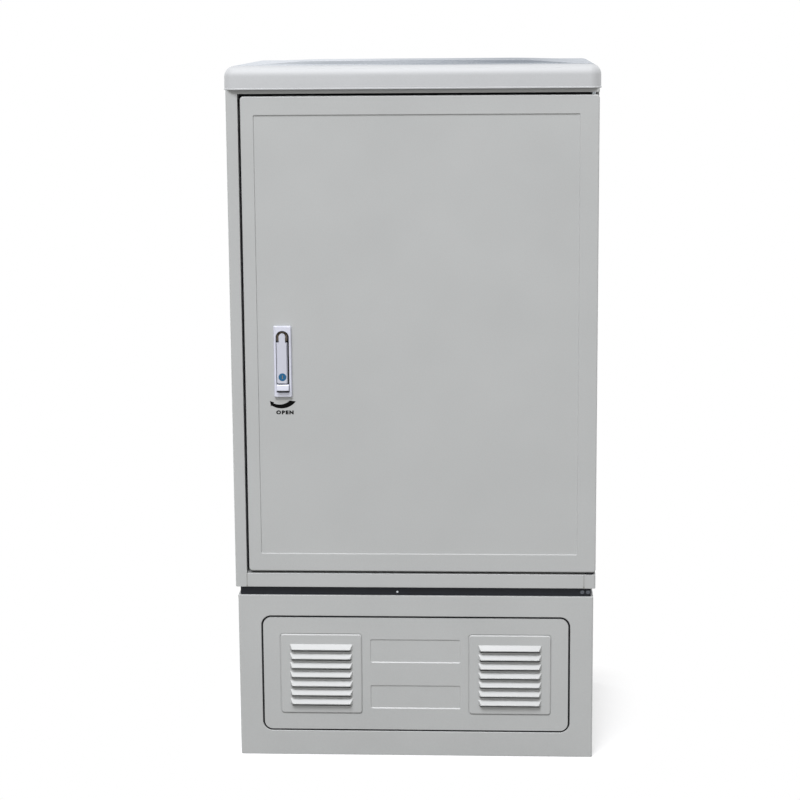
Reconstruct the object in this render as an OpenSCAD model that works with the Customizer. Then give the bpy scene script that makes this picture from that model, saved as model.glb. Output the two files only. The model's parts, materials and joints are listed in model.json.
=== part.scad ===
// Roadside utility cabinet: moulded body on a louvred plinth, one door with a rod lock, crowned hood.
// Millimetres, +Z up, +X to the right, front towards -Y. The origin is the centre of the ground plane.

/* [Overall] */
// Width of the body across its side panels
cab_w = 750; // [700:10:900]
// Depth of the body from its front plane to its rear face
cab_d = 540; // [480:10:700]

/* [Heights] */
// Height of the plinth
base_h = 348; // [320:1:420]
// Height of the dark frame strip between plinth and body
strip_h = 19; // [15:1:30]
// Height of the sill under the door
sill_h = 29; // [24:1:40]
// Height of the door
door_h = 981; // [900:1:1200]
// Header strip that shows between door and hood
header_show = 8; // [6:1:14]
// Height of the hood from its lip to the top of its shoulder
hood_h = 49; // [46:1:70]
// Rise of the hood's crowned top
crown_rise = 6; // [2:0.5:8]

/* [Walls] */
// Thickness of the moulded panels
smc_t = 6; // [5:0.5:8]
// Thickness of the folded steel sheet
sheet_t = 3; // [2:0.5:4]
// Thickness of the hood's wall
hood_t = 3.5; // [3:0.1:3.8]

/* [Door] */
// Gap round the door
door_gap = 5; // [3:0.5:8]
// Width of the front post beside the door
post_w = 24; // [20:1:32]
// Thickness of the door from its face to the edge of its return
door_t = 22; // [20:1:24]
// Radius of the door's corners
door_corner_r = 7; // [6:0.5:10]
// Depth of the door's recessed field
recess_depth = 2; // [1:0.5:2.5]
// Margin of the recessed field on the lock side
recess_left = 26; // [20:1:50]
// Margin of the recessed field on the hinge side
recess_right = 38; // [36:1:60]
// Margin of the recessed field at the top and the bottom
recess_end = 37; // [28:1:60]

/* [Louvred cover] */
// Margin from the plinth's side to the cover
cover_side = 51.5; // [44:0.5:60]
// Margin from the plinth's top to the cover
cover_top = 48.5; // [38:0.5:50]
// Margin from the ground to the cover
cover_bottom = 56.5; // [40:0.5:70]
// Radius of the cover's corners
cover_r = 17; // [14:1:25]
// Side of each raised louvre field
field_w = 171; // [150:1:178]
// Height of each raised louvre field
field_h = 172; // [160:1:180]
// Louvres in each field
louvre_count = 7; // [5:1:7]
// Distance from one louvre to the next
louvre_pitch = 19.7; // [18:0.1:21]
// Width of a louvre at its top edge
louvre_w = 132; // [110:1:135]
// Height of a louvre
louvre_h = 11.2; // [10:0.1:13]
// How far a louvre's lip stands out
louvre_out = 8; // [6:0.5:9]

/* [Lock] */
// Width of the escutcheon
plate_w = 37.5; // [34:0.5:42]
// Height of the escutcheon
plate_h = 148; // [144:1:160]
// Distance from the lock to the body's left side
lock_in = 107; // [104:1:120]
// Height of the handle's spindle above the door's bottom edge
lock_up = 493; // [400:1:520]
// Distance from the spindle to the handle's lower end
handle_l = 96; // [92:0.5:96]
// Distance from the spindle to each crank pin
crank_r = 18; // [16:0.5:20]

/* [Anchoring] */
// Radius of the anchor bolt holes
anchor_r = 7; // [5:0.5:9]
// Distance between anchor holes from front to rear
anchor_pitch_y = 400; // [300:10:400]

/* [Equipment] */
// Splice trays in each unit
tray_count = 6; // [4:1:8]
// Width of each distribution unit
unit_w = 420; // [380:10:440]
// Depth of each distribution unit
unit_d = 150; // [120:10:170]
// Fibre spools on the spool plate
spool_count = 5; // [3:1:6]

/* [Hidden] */
$fn = 64;
// Overrun of every cut past its face
cut_over = 1;
// Running clearance of a pin or a shaft in its bore
run_gap = 0.05;
// Clearance between pieces that slide or pass each other
slide_gap = 0.3;

// Colours
smc_grey = "#b9bdb9";
smc_pale = "#c8cbc9";
dark_steel = "#3a3f46";
zinc_steel = "#aeb3b8";
lock_zinc = "#cfd0dc";
cast_grey = "#6f6a63";
black_rubber = "#26272a";
white_nylon = "#e6e6e2";
key_blue = "#1f6fa5";
tray_blue = "#9fb4c6";
copper = "#b87545";

// Planes of the body
left_x = -cab_w / 2;
right_x = cab_w / 2;
front_y = -cab_d / 2;
rear_y = cab_d / 2;
inner_left_x = left_x + smc_t;
inner_right_x = right_x - smc_t;
inner_rear_y = rear_y - smc_t;
post_edge_r = 4.5;

// Levels of the body, from the ground up
body_z = base_h + strip_h;
sill_top_z = body_z + sill_h;
door_z = sill_top_z + door_gap;
door_top_z = door_z + door_h;
header_z = door_top_z + door_gap;
hood_z = header_z + header_show;
body_top_z = hood_z;

// Plinth
base_inset = 4;
base_edge_r = 4;
base_flange_w = 40;
base_w = cab_w - 2 * base_inset;
base_d = cab_d - 2 * base_inset;
base_x = base_w / 2;
base_y = base_d / 2;
base_inner_x = base_x - smc_t;
base_inner_y = base_y - smc_t;
angle_leg = 22;
rail_t = 5;
rail_w = 60;
rail_h = 50;
anchor_x = base_inner_x - rail_w / 2;

// Louvred cover
cover_gap = 4;
cover_t = 5;
ledge_w = 12;
ledge_t = 4;
ledge_back = cover_t + ledge_t;
opening_w = base_w - 2 * cover_side + 2 * cover_gap;
opening_h = base_h - cover_top - cover_bottom + 2 * cover_gap;
opening_r = cover_r + cover_gap;
cover_w = opening_w - 2 * cover_gap;
cover_h = opening_h - 2 * cover_gap;
cover_z = cover_bottom + cover_h / 2;
field_r = 6;
field_rise = 2;
field_run = 2;
field_side = 36;
field_groove = 1.6;
groove_depth = 1.2;
field_x = cover_w / 2 - field_side - field_w / 2;
bar_gap = 17.5;
bar_w = 2 * (field_x - field_w / 2 - bar_gap);
bar_h = 51;
bar_pitch = 100;
bar_r = 4;
bar_depth = 1.6;
bar_run = 2;
louvre_end = 5.5;
louvre_wall = 2;
louvre_lip = 1.5;
louvre_drop = 5;
clamp_w = 30;
clamp_hold = 14;
clamp_t = 3;
clamp_x_share = 0.3;

// Support frame and gland plate
strip_inset = 9;
strip_bar = 40;
strip_x = cab_w / 2 - strip_inset;
strip_y = cab_d / 2 - strip_inset;
grommet_r = 22;
grommet_lip = 7;
grommet_lip_t = 3;
grommet_dome = 5;
grommet_pitch_x = 110;
grommet_cols = [-2, -1, 0, 1, 2];

// Door planes
skin_t = smc_t;
return_t = 5;
edge_r = 3;
door_fit = 0.6;
door_left_x = left_x + post_w + door_gap;
door_w = right_x - door_left_x;
door_mid_x = (door_left_x + right_x) / 2;
door_mid_z = door_z + door_h / 2;
field_y = front_y + recess_depth;
skin_back_y = front_y + skin_t;
door_back_y = front_y + door_t;
recess_r = 3;
recess_run = 1.2;

// Hinge line and the planes that keep clear of the door's swing
hinge_in = 12;
hinge_x = right_x - hinge_in;
hinge_y = front_y + hinge_in;
pin_r = 4;
pin_reach = 24;
block_h = 30;
block_w = 17;
block_right_x = right_x - return_t - door_fit;
block_left_x = block_right_x - block_w;
gasket_t = 8;
gasket_w = 12;
gasket_edge = 2;
gasket_y = door_back_y + gasket_t;
seal_y = gasket_y + slide_gap;
seal_back_y = seal_y + sheet_t;
seal_lip = 14;
seal_land = 4;

// Door inner frame, and the seal frame's opening inside the gasket
ring_w = 36;
ring_gap = 1;
ring_left_x = door_left_x + return_t + door_fit;
ring_right_x = block_left_x - ring_gap;
ring_low_z = door_z + return_t + door_fit;
ring_top_z = door_top_z - return_t - door_fit;
seal_in = gasket_edge + gasket_w + seal_land;
clear_left_x = ring_left_x + seal_in;
clear_right_x = ring_right_x - seal_in;
clear_low_z = ring_low_z + seal_in;
clear_top_z = ring_top_z - seal_in;

// Lock
lock_x = left_x + lock_in;
spindle_z = door_z + lock_up;
plate_t = 6;
plate_bevel = 1.4;
plate_r = 3;
plate_y = field_y - plate_t;
plate_over = 23.5;
plate_top_z = spindle_z + plate_over;
plate_mid_z = plate_top_z - plate_h / 2;
slot_r = 13.2;
slot_foot = 10;
slot_low_z = plate_top_z - plate_h + slot_foot;
handle_gap = 0.6;
handle_t = 7;
handle_w = 23;
handle_edge = 2;
handle_corner_r = 3;
tongue_w = 13;
tongue_rise = 2;
tongue_drop = 9;
handle_back_y = plate_y - handle_gap;
handle_front_y = handle_back_y - handle_t;
lift_y = handle_back_y - handle_t / 2;
lift_pin_r = 2;
handle_low_z = spindle_z - handle_l;
core_r = 8;
core_up = 15;
core_proud = 0.4;
core_slot_w = 1.6;
core_slot_h = 7;
core_slot_depth = 2;
core_z = handle_low_z + core_up;
button_w = 25;
button_h = 13.2;
button_gap = 0.8;
button_top_z = handle_low_z - button_gap;
button_travel = 3;
button_proud = 7;
button_lean = 2;
button_front_y = plate_y - button_proud;
button_back_y = field_y - button_travel - slide_gap;
button_edge = 1.4;
stem_w = 10;
stem_h = 6;
stem_l = 16;
housing_edge = 3;
housing_deep = 6;
housing_back_y = door_back_y + housing_deep;
housing_w = plate_w - 2 * housing_edge;
housing_h = plate_h - 2 * housing_edge;
cutout_gap = 0.5;
spindle_r = 9;
head_r = 11.5;
ear_t = 4;
ear_h = 12;
ear_over = 2.2;
head_proud = 2.5;
head_y = field_y - head_proud;
square_w = 10;
crank_t = 5;
crank_w = 22;
crank_y = housing_back_y + slide_gap;
crank_back_y = crank_y + crank_t;
crank_pin_r = 3;
pin_at = crank_r * sin(45);

// Lock rods
rod_w = 22;
rod_t = 4;
rod_end = 10;
rod_tip_gap = 1;
rod_y = crank_back_y + slide_gap;
rod_back_y = rod_y + rod_t;
rod_offset = (crank_r + pin_at) / 2;
yoke_gap = 0.7;
yoke_h = 2 * (crank_pin_r + yoke_gap);
yoke_w = crank_r - pin_at + yoke_h;
crank_pin_over = 1.5;
keeper_w = 34;
keeper_d = 14;
upper_tip_z = clear_top_z - sheet_t - rod_tip_gap;
lower_tip_z = clear_low_z + sheet_t + rod_tip_gap;
rod_rail_w = 72;
rod_rail_leg = 8;
guide_h = 14;
guide_wall = 6;
guide_back = 4;
guide_near = 60;
guide_far = 80;

// Document holder on the door
holder_w = 230;
holder_h = 200;
holder_d = 20;
holder_t = 2;
holder_x_share = 0.12;
holder_z_share = 0.4;

// Hood and roof
hood_side = 4;
hood_front = 8;
hood_w = cab_w + 2 * hood_side;
hood_d = cab_d + 2 * hood_front;
hood_r = 25;
hood_flare = 1;
shoulder_r = 21;
hood_flat_r = hood_r - hood_flare - shoulder_r;
crown_run = 130;
crown_edge = hood_flare + shoulder_r + crown_run;
roof_inset = 8;
post_r = 14;
post_in = 80;

// Equipment
floor_z = body_z + sheet_t;
upright_w = 30;
upright_d = 40;
upright_wall = 2.5;
equip_rear = 194;
upright_y = inner_rear_y - equip_rear;
equip_side = 30;
equip_left_x = inner_left_x + equip_side;
unit_left_x = equip_left_x + upright_w;
unit_right_x = unit_left_x + unit_w;
equip_right_x = unit_right_x + upright_w;
equip_lift = 190;
equip_head = 56;
equip_z = floor_z + equip_lift;
unit_count = 4;
unit_gap = 12;
unit_pitch = (body_top_z - equip_head - equip_z) / unit_count;
unit_h = unit_pitch - unit_gap;
unit_wall = 2;
unit_front_y = upright_y - unit_d + upright_d;
unit_back_y = unit_front_y + unit_d;
tray_gap = 4;
tray_set = 20;
lid_in = 3;
lid_t = 2;
tray_pitch = (unit_h - 2 * unit_wall) / tray_count;
tray_t = tray_pitch - tray_gap;
crossbar_h = 30;
spool_r = 26;
spool_l = 60;
spool_flange = 8;
spool_flange_t = 4;
spool_pitch = unit_count * unit_pitch / spool_count;
spool_x = (equip_right_x + inner_right_x) / 2;
clamp_bar_h = 30;
clamp_bar_d = 20;
clamp_bar_z = floor_z + equip_lift / 2;
clamp_bar_fore = 110;
clamp_bar_y = upright_y - clamp_bar_fore;
cable_clamp_w = 34;
cable_clamp_d = 22;
cable_clamp_h = 24;
cable_groove_r = 11;
cable_y = clamp_bar_y + clamp_bar_d + cable_clamp_d;
earth_l = 220;
earth_h = 25;
earth_t = 6;
earth_foot = 24;
earth_lift = 30;
earth_back = 24;
earth_y = inner_rear_y - earth_back - earth_foot - earth_t;

// Box from its low corner to its high corner
module span(low, high) {
    translate(low) cube(high - low);
}

// The child as drawn for the right side, or mirrored for the left
module on_side(side) {
    mirror([side < 0 ? 1 : 0, 0, 0]) children();
}

// Quarter of a disc in the first quadrant
module quarter(r) {
    intersection() {
        circle(r);
        square(r);
    }
}

// Quarter of a ring in the first quadrant
module quarter_ring(r, t) {
    difference() {
        quarter(r);
        circle(r - t);
    }
}

// Rectangle from the origin with the corner at its low end rounded
module soft_rect(w, d, r) {
    translate([r, 0]) square([w - r, d]);
    translate([0, r]) square([r, d - r]);
    translate([r, r]) rotate(180) quarter(r);
}

// Sweeps an outline round a rectangle of corner centres: its x runs outwards, its y upwards
module rim_sweep(w, h) {
    corners = [[w, h], [-w, h], [-w, -h], [w, -h]] / 2;
    for (turn = [0:3]) {
        reach = turn % 2 == 0 ? w : h;
        run = turn % 2 == 0 ? h : w;
        rotate(turn * 90) translate([reach / 2, 0]) rotate([90, 0, 0])
            linear_extrude(run, center = true) children();
        translate(corners[turn]) rotate(turn * 90) rotate_extrude(angle = 90) children();
    }
}

// Plate with rounded corners, standing on the drawing plane
module rounded_plate(w, h, r, t) {
    rim_sweep(w - 2 * r, h - 2 * r) square([r, t]);
    translate([r - w / 2, r - h / 2]) cube([w - 2 * r, h - 2 * r, t]);
}

// Raised pad with rounded corners and sloping edges
module bevel_pad(w, h, r, rise, run) {
    rim_sweep(w - 2 * r, h - 2 * r) polygon([[0, 0], [r, 0], [r - run, rise], [0, rise]]);
    translate([r - w / 2, r - h / 2]) cube([w - 2 * r, h - 2 * r, rise]);
}

// Cutter for a recess with sloping edges, sunk from the drawing plane
module recess_cut(w, h, r, depth, run) {
    mirror([0, 0, 1]) bevel_pad(w, h, r, depth, run);
    rounded_plate(w, h, r, cut_over);
}

// Stands a drawing up so that it faces the front
module facing_front(x, y, z) {
    translate([x, y, z]) rotate([90, 0, 0]) children();
}

// Stands a drawing up so that it faces the rear
module facing_rear(x, y, z) {
    translate([x, y, z]) rotate([90, 0, 180]) children();
}

// Stands a drawing up so that it faces the left or the right
module facing_side(side, x, y, z) {
    translate([x, y, z]) rotate([90, 0, side * 90]) children();
}

// Rectangular ring between two levels of depth, drawn by its outer edges and the width of its bars
module upright_ring(low, high, bar) {
    difference() {
        span(low, high);
        span(low + [bar, -cut_over, bar], high + [-bar, cut_over, -bar]);
    }
}

// Plinth

// Wall with its two front edges rounded, and an inward flange at its top
module base_long_panel() {
    translate([0, -base_y]) {
        for (side = [-1, 1])
            on_side(side) translate([base_x, 0]) mirror([1, 0]) linear_extrude(base_h)
                soft_rect(base_x, smc_t, base_edge_r);
        span([-base_x, smc_t, base_h - smc_t], [base_x, base_flange_w, base_h]);
    }
}

module base_front_panel() {
    color(smc_grey) difference() {
        union() {
            base_long_panel();
            facing_front(0, -base_y, cover_z) translate([0, 0, -ledge_back])
                rounded_plate(opening_w + 2 * ledge_w, opening_h + 2 * ledge_w, opening_r + ledge_w, ledge_t);
        }
        facing_front(0, -base_y, cover_z) {
            translate([0, 0, -cover_t]) rounded_plate(opening_w, opening_h, opening_r, cover_t + cut_over);
            translate([0, 0, -ledge_back - cut_over])
                rounded_plate(opening_w - 2 * ledge_w, opening_h - 2 * ledge_w, opening_r - ledge_w,
                              ledge_back + 2 * cut_over);
        }
    }
}

module base_rear_panel() {
    color(smc_grey) rotate(180) base_long_panel();
}

module base_side_panel(side) {
    flange_y = base_y - base_flange_w;
    color(smc_grey) on_side(side) {
        span([base_inner_x, -base_inner_y, 0], [base_x, base_inner_y, base_h - smc_t]);
        span([base_x - base_flange_w, -flange_y, base_h - smc_t], [base_x, flange_y, base_h]);
    }
}

module base_corner_angles() {
    color(zinc_steel) for (side = [-1, 1], end = [-1, 1])
        on_side(side) mirror([0, end < 0 ? 1 : 0, 0]) {
            span([base_inner_x - angle_leg, base_inner_y - sheet_t, rail_h],
                 [base_inner_x, base_inner_y, base_h - smc_t]);
            span([base_inner_x - sheet_t, base_inner_y - angle_leg, rail_h],
                 [base_inner_x, base_inner_y - sheet_t, base_h - smc_t]);
        }
}

module anchor_rail(side) {
    color(dark_steel) on_side(side) difference() {
        union() {
            span([base_inner_x - rail_w, -base_inner_y, 0], [base_inner_x, base_inner_y, rail_t]);
            span([base_inner_x - rail_t, -base_inner_y, rail_t], [base_inner_x, base_inner_y, rail_h]);
        }
        for (end = [-1, 1])
            translate([anchor_x, end * anchor_pitch_y / 2, -cut_over])
                cylinder(rail_t + 2 * cut_over, r = anchor_r);
    }
}

// Louvred cover

// Solid under a side outline, narrowing from the field's face to its lip
module louvre_form(side_outline, w) {
    back = cover_t + field_rise + cut_over;
    intersection() {
        rotate([0, -90, 0]) linear_extrude(w, center = true) polygon(side_outline);
        rotate([90, 0, 0]) linear_extrude(2 * louvre_pitch, center = true)
            polygon([[-w / 2, -back], [w / 2, -back], [w / 2, 0], [w / 2 - louvre_end, louvre_out],
                     [louvre_end - w / 2, louvre_out], [-w / 2, 0]]);
    }
}

// Sloping hood of one louvre, from the field's face to its lip
module louvre_hood() {
    louvre_form([[0, louvre_h / 2], [0, -louvre_h / 2], [louvre_out, -louvre_h / 2],
                 [louvre_out, louvre_lip - louvre_h / 2]], louvre_w);
}

// Air way of one louvre: in through the plate, and out below the lip
module louvre_cut() {
    back = -cover_t - field_rise - cut_over;
    crest = louvre_h / 2 - 2 * louvre_wall;
    inner_out = louvre_out - louvre_wall;
    foot = -louvre_h / 2 - louvre_drop;
    louvre_form([[back, crest], [0, crest], [inner_out, louvre_lip - louvre_h / 2], [inner_out, foot],
                 [back, foot]], louvre_w - 4 * louvre_wall);
}

// Places a louvre at each spot of both fields, on the fields' faces
module at_louvres() {
    for (side = [-1, 1], row = [0:louvre_count - 1])
        translate([side * field_x, (row - (louvre_count - 1) / 2) * louvre_pitch, field_rise]) children();
}

// Groove round the foot of a field
module field_outline() {
    difference() {
        translate([0, 0, -groove_depth])
            rounded_plate(field_w + 2 * field_groove, field_h + 2 * field_groove, field_r + field_groove,
                          groove_depth + cut_over);
        translate([0, 0, -groove_depth - cut_over])
            rounded_plate(field_w, field_h, field_r, groove_depth + 3 * cut_over);
    }
}

module base_louvre_cover() {
    color(smc_grey) facing_front(0, -base_y, cover_z) difference() {
        union() {
            translate([0, 0, -cover_t]) rounded_plate(cover_w, cover_h, cover_r, cover_t);
            for (side = [-1, 1])
                translate([side * field_x, 0]) bevel_pad(field_w, field_h, field_r, field_rise, field_run);
            at_louvres() louvre_hood();
        }
        at_louvres() louvre_cut();
        for (side = [-1, 1]) translate([side * field_x, 0]) field_outline();
        for (end = [-1, 1])
            translate([0, end * bar_pitch / 2]) recess_cut(bar_w, bar_h, bar_r, bar_depth, bar_run);
    }
}

// Clips behind the cover that hook over the ledge of the opening
module cover_clamps() {
    color(zinc_steel) for (side = [-1, 1], end = [-1, 1])
        facing_front(side * clamp_x_share * cover_w, -base_y, cover_z) mirror([0, end < 0 ? 1 : 0, 0]) {
            edge = opening_h / 2 - ledge_w;
            span([-clamp_w / 2, edge - clamp_hold, -ledge_back], [clamp_w / 2, edge - slide_gap, -cover_t]);
            span([-clamp_w / 2, edge - clamp_hold, -ledge_back - clamp_t],
                 [clamp_w / 2, edge + ledge_w, -ledge_back]);
        }
}

// Support frame and floor

// Welded frame of channel bars, open towards the middle
module support_frame() {
    color(dark_steel) difference() {
        span([-strip_x, -strip_y, base_h], [strip_x, strip_y, body_z]);
        span([strip_bar - strip_x, strip_bar - strip_y, base_h - cut_over],
             [strip_x - strip_bar, strip_y - strip_bar, body_z + cut_over]);
        span([sheet_t - strip_x, sheet_t - strip_y, base_h + sheet_t],
             [strip_x - sheet_t, strip_y - sheet_t, body_z - sheet_t]);
    }
}

module at_grommets() {
    for (col = grommet_cols)
        translate([col * grommet_pitch_x, cable_y, body_z]) children();
}

module gland_plate() {
    color(zinc_steel) difference() {
        span([inner_left_x, seal_back_y, body_z], [inner_right_x, inner_rear_y, floor_z]);
        at_grommets() translate([0, 0, -cut_over]) cylinder(sheet_t + 2 * cut_over, r = grommet_r);
    }
}

// Rubber entries, each closed by a thin dome that is cut open when a cable is led in
module cable_grommets() {
    lip_r = grommet_r + grommet_lip;
    top = sheet_t + grommet_lip_t;
    color(black_rubber) at_grommets() rotate_extrude()
        polygon([[0, -grommet_lip_t], [lip_r, -grommet_lip_t], [lip_r, 0], [grommet_r, 0],
                 [grommet_r, sheet_t], [lip_r, sheet_t], [lip_r, top], [grommet_r, top],
                 [grommet_r - grommet_lip, top + grommet_dome], [0, top + grommet_dome]]);
}

// Body panels

// Wall with a rounded front edge, a front post and its return behind the door's edge
module left_side_panel() {
    color(smc_grey) difference() {
        translate([left_x, front_y, body_z]) linear_extrude(body_top_z - body_z) {
            soft_rect(post_w, smc_t, post_edge_r);
            translate([0, smc_t]) square([smc_t, cab_d - smc_t]);
            translate([post_w - smc_t, smc_t]) square([smc_t, seal_y - front_y - smc_t]);
        }
        side_recess(-1);
    }
}

// Shallow field on the outside of a side panel
module side_recess(side) {
    facing_side(side, side * right_x, 0, (body_z + body_top_z) / 2)
        recess_cut(cab_d - 2 * recess_right, body_top_z - body_z - 2 * recess_right, recess_r, recess_depth,
                   recess_run);
}

// Block at the front corner that holds a hinge pin
module hinge_corner(low, high) {
    difference() {
        translate([right_x, front_y, low]) mirror([1, 0]) linear_extrude(high - low)
            soft_rect(post_w, seal_y - front_y, post_edge_r);
        translate([hinge_x, hinge_y, low - cut_over]) cylinder(high - low + 2 * cut_over, r = pin_r + run_gap);
    }
}

// Wall set back behind the door, with hinge corners under and over the door
module right_side_panel() {
    color(smc_grey) {
        difference() {
            span([inner_right_x, seal_y, body_z], [right_x, rear_y, body_top_z]);
            side_recess(1);
        }
        hinge_corner(body_z, sill_top_z);
        hinge_corner(header_z, body_top_z);
    }
}

module rear_panel() {
    color(smc_grey) difference() {
        span([inner_left_x, inner_rear_y, body_z], [inner_right_x, rear_y, body_top_z]);
        facing_rear(0, rear_y, (body_z + body_top_z) / 2)
            recess_cut(cab_w - 2 * (smc_t + recess_right), body_top_z - body_z - 2 * recess_right, recess_r,
                       recess_depth, recess_run);
    }
}

// Folded member across the front: a face and a shelf that runs back to the seal frame
module front_member(low, high, shelf_low) {
    color(smc_grey) {
        span([left_x + post_w, front_y, low], [right_x - post_w, front_y + sheet_t, high]);
        span([left_x + post_w, front_y + sheet_t, shelf_low], [right_x - post_w, seal_y, shelf_low + sheet_t]);
    }
}

module front_sill() {
    front_member(body_z, sill_top_z, sill_top_z - sheet_t);
}

module front_header() {
    front_member(header_z, body_top_z, header_z);
}

// Sheet frame that the gasket closes on, with a lip turned in round its opening
module seal_frame() {
    opening_low = [clear_left_x, seal_y - cut_over, clear_low_z];
    opening_high = [clear_right_x, seal_back_y + seal_lip + cut_over, clear_top_z];
    wall = [sheet_t, 0, sheet_t];
    color(dark_steel) difference() {
        union() {
            span([inner_left_x, seal_y, body_z], [inner_right_x, seal_back_y, body_top_z]);
            span([clear_left_x, seal_back_y, clear_low_z] - wall,
                 [clear_right_x, seal_back_y + seal_lip, clear_top_z] + wall);
        }
        span(opening_low, opening_high);
    }
}

// Strike plates on the lip, in line with the lock rods
module rod_keepers() {
    color(zinc_steel) {
        translate([lock_x + rod_offset - keeper_w / 2, seal_back_y, clear_top_z - sheet_t])
            cube([keeper_w, keeper_d, sheet_t]);
        translate([lock_x - rod_offset - keeper_w / 2, seal_back_y, clear_low_z])
            cube([keeper_w, keeper_d, sheet_t]);
    }
}

// Hood and roof

module roof_panel() {
    roof_x = cab_w / 2 - roof_inset;
    roof_y = cab_d / 2 - roof_inset;
    color(zinc_steel) span([-roof_x, -roof_y, body_top_z], [roof_x, roof_y, body_top_z + sheet_t]);
}

// Skirt with a slight flare, rounded shoulder and the edge of the top
module hood_outline() {
    skirt_h = hood_h - shoulder_r;
    polygon([[hood_r - hood_t, 0], [hood_r, 0], [hood_r - hood_flare, skirt_h],
             [hood_r - hood_flare - hood_t, skirt_h]]);
    translate([hood_flat_r, skirt_h]) quarter_ring(shoulder_r, hood_t);
    translate([0, hood_h - hood_t]) square([hood_flat_r, hood_t]);
}

module hood() {
    flat_w = hood_w - 2 * hood_r;
    flat_d = hood_d - 2 * hood_r;
    crown_w = hood_w - 2 * crown_edge;
    crown_d = hood_d - 2 * crown_edge;
    color(smc_pale) translate([0, 0, hood_z]) {
        rim_sweep(flat_w, flat_d) hood_outline();
        translate([-flat_w / 2, -flat_d / 2, hood_h - hood_t]) cube([flat_w, flat_d, hood_t]);
        translate([0, 0, hood_h]) {
            rim_sweep(crown_w, crown_d) polygon([[0, 0], [crown_run, 0], [0, crown_rise]]);
            translate([-crown_w / 2, -crown_d / 2]) cube([crown_w, crown_d, crown_rise]);
        }
    }
}

module hood_posts() {
    low = body_top_z + sheet_t;
    color(zinc_steel) for (side = [-1, 1], end = [-1, 1])
        translate([side * (cab_w / 2 - post_in), end * (cab_d / 2 - post_in), low])
            cylinder(hood_z + hood_h - hood_t - low, r = post_r);
}

// Hinge

module hinge_pin(low, high) {
    color(zinc_steel) translate([hinge_x, hinge_y, low]) cylinder(high - low, r = pin_r);
}

module lower_hinge_pin() {
    hinge_pin(body_z, door_z + pin_reach);
}

module upper_hinge_pin() {
    hinge_pin(door_top_z - pin_reach, body_top_z);
}

// Thrust washer that the door turns on
module hinge_washer() {
    color(black_rubber) translate([hinge_x, hinge_y, sill_top_z]) difference() {
        cylinder(door_gap - slide_gap, r = hinge_in - edge_r);
        translate([0, 0, -cut_over]) cylinder(door_gap + cut_over, r = pin_r + run_gap);
    }
}

// Block in the door's corner that turns on a hinge pin, bored past the pin's end
module pivot_block(low) {
    color(zinc_steel) difference() {
        span([block_left_x, skin_back_y, low], [block_right_x, door_back_y, low + block_h]);
        translate([hinge_x, hinge_y, low - cut_over]) cylinder(block_h + 2 * cut_over, r = pin_r + run_gap);
    }
}

module lower_pivot_block() {
    pivot_block(ring_low_z);
}

module upper_pivot_block() {
    pivot_block(ring_top_z - block_h);
}

// Door

// Edge of the door: face with a rounded front edge, and the return behind it
module door_edge_outline() {
    translate([door_corner_r, 0]) mirror([1, 0]) mirror([0, 1]) {
        soft_rect(return_t, door_t, edge_r);
        translate([return_t, 0]) square([door_corner_r - return_t, skin_t]);
    }
}

module door_skin() {
    core_w = door_w - 2 * door_corner_r;
    core_h = door_h - 2 * door_corner_r;
    color(smc_grey) difference() {
        facing_front(door_mid_x, front_y, door_mid_z) {
            rim_sweep(core_w, core_h) door_edge_outline();
            translate([-core_w / 2, -core_h / 2, -skin_t]) cube([core_w, core_h, skin_t]);
        }
        facing_front(door_mid_x + (recess_left - recess_right) / 2, front_y, door_mid_z)
            recess_cut(door_w - recess_left - recess_right, door_h - 2 * recess_end, recess_r, recess_depth,
                       recess_run);
        lock_window(front_y - cut_over, skin_back_y + cut_over);
        translate([hinge_x, hinge_y, door_z - cut_over])
            cylinder(door_h + 2 * cut_over, r = pin_r + run_gap);
    }
}

// Opening that the lock housing passes through
module lock_window(near, far) {
    half_w = housing_w / 2 + cutout_gap;
    half_h = housing_h / 2 + cutout_gap;
    span([lock_x - half_w, near, plate_mid_z - half_h], [lock_x + half_w, far, plate_mid_z + half_h]);
}

// Channel ring that stiffens the door's edge, open towards the skin
module door_inner_frame() {
    low = [ring_left_x, skin_back_y, ring_low_z];
    high = [ring_right_x, door_back_y, ring_top_z];
    wall = [sheet_t, 0, sheet_t];
    groove_low = low + wall - [0, cut_over, 0];
    groove_high = [high[0], door_back_y - sheet_t, high[2]] - wall;
    color(zinc_steel) difference() {
        upright_ring(low, high, ring_w);
        upright_ring(groove_low, groove_high, ring_w - 2 * sheet_t);
    }
}

module door_gasket() {
    color(black_rubber) upright_ring([ring_left_x + gasket_edge, door_back_y, ring_low_z + gasket_edge],
                                     [ring_right_x - gasket_edge, gasket_y, ring_top_z - gasket_edge],
                                     gasket_w);
}

// Upright channel behind the lock that carries the housing and the rod guides
module lock_rail() {
    half = rod_rail_w / 2;
    low_z = ring_low_z + ring_w;
    top_z = ring_top_z - ring_w;
    color(zinc_steel) difference() {
        union() {
            span([lock_x - half, door_back_y - sheet_t, low_z], [lock_x + half, door_back_y, top_z]);
            for (side = [-1, 1])
                translate([lock_x, 0]) on_side(side)
                    span([half - sheet_t, skin_back_y, low_z], [half, door_back_y - sheet_t, top_z]);
        }
        lock_window(door_back_y - sheet_t - cut_over, door_back_y + cut_over);
    }
}

// Open-topped sheet pocket for papers
module document_holder() {
    low = [door_mid_x + holder_x_share * door_w - holder_w / 2, skin_back_y, door_z + holder_z_share * door_h];
    high = low + [holder_w, holder_d, holder_h];
    wall = [holder_t, holder_t, holder_t];
    color(tray_blue) difference() {
        span(low, high);
        span(low + wall, high + [-holder_t, -holder_t, cut_over]);
    }
}

// Lock

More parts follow.
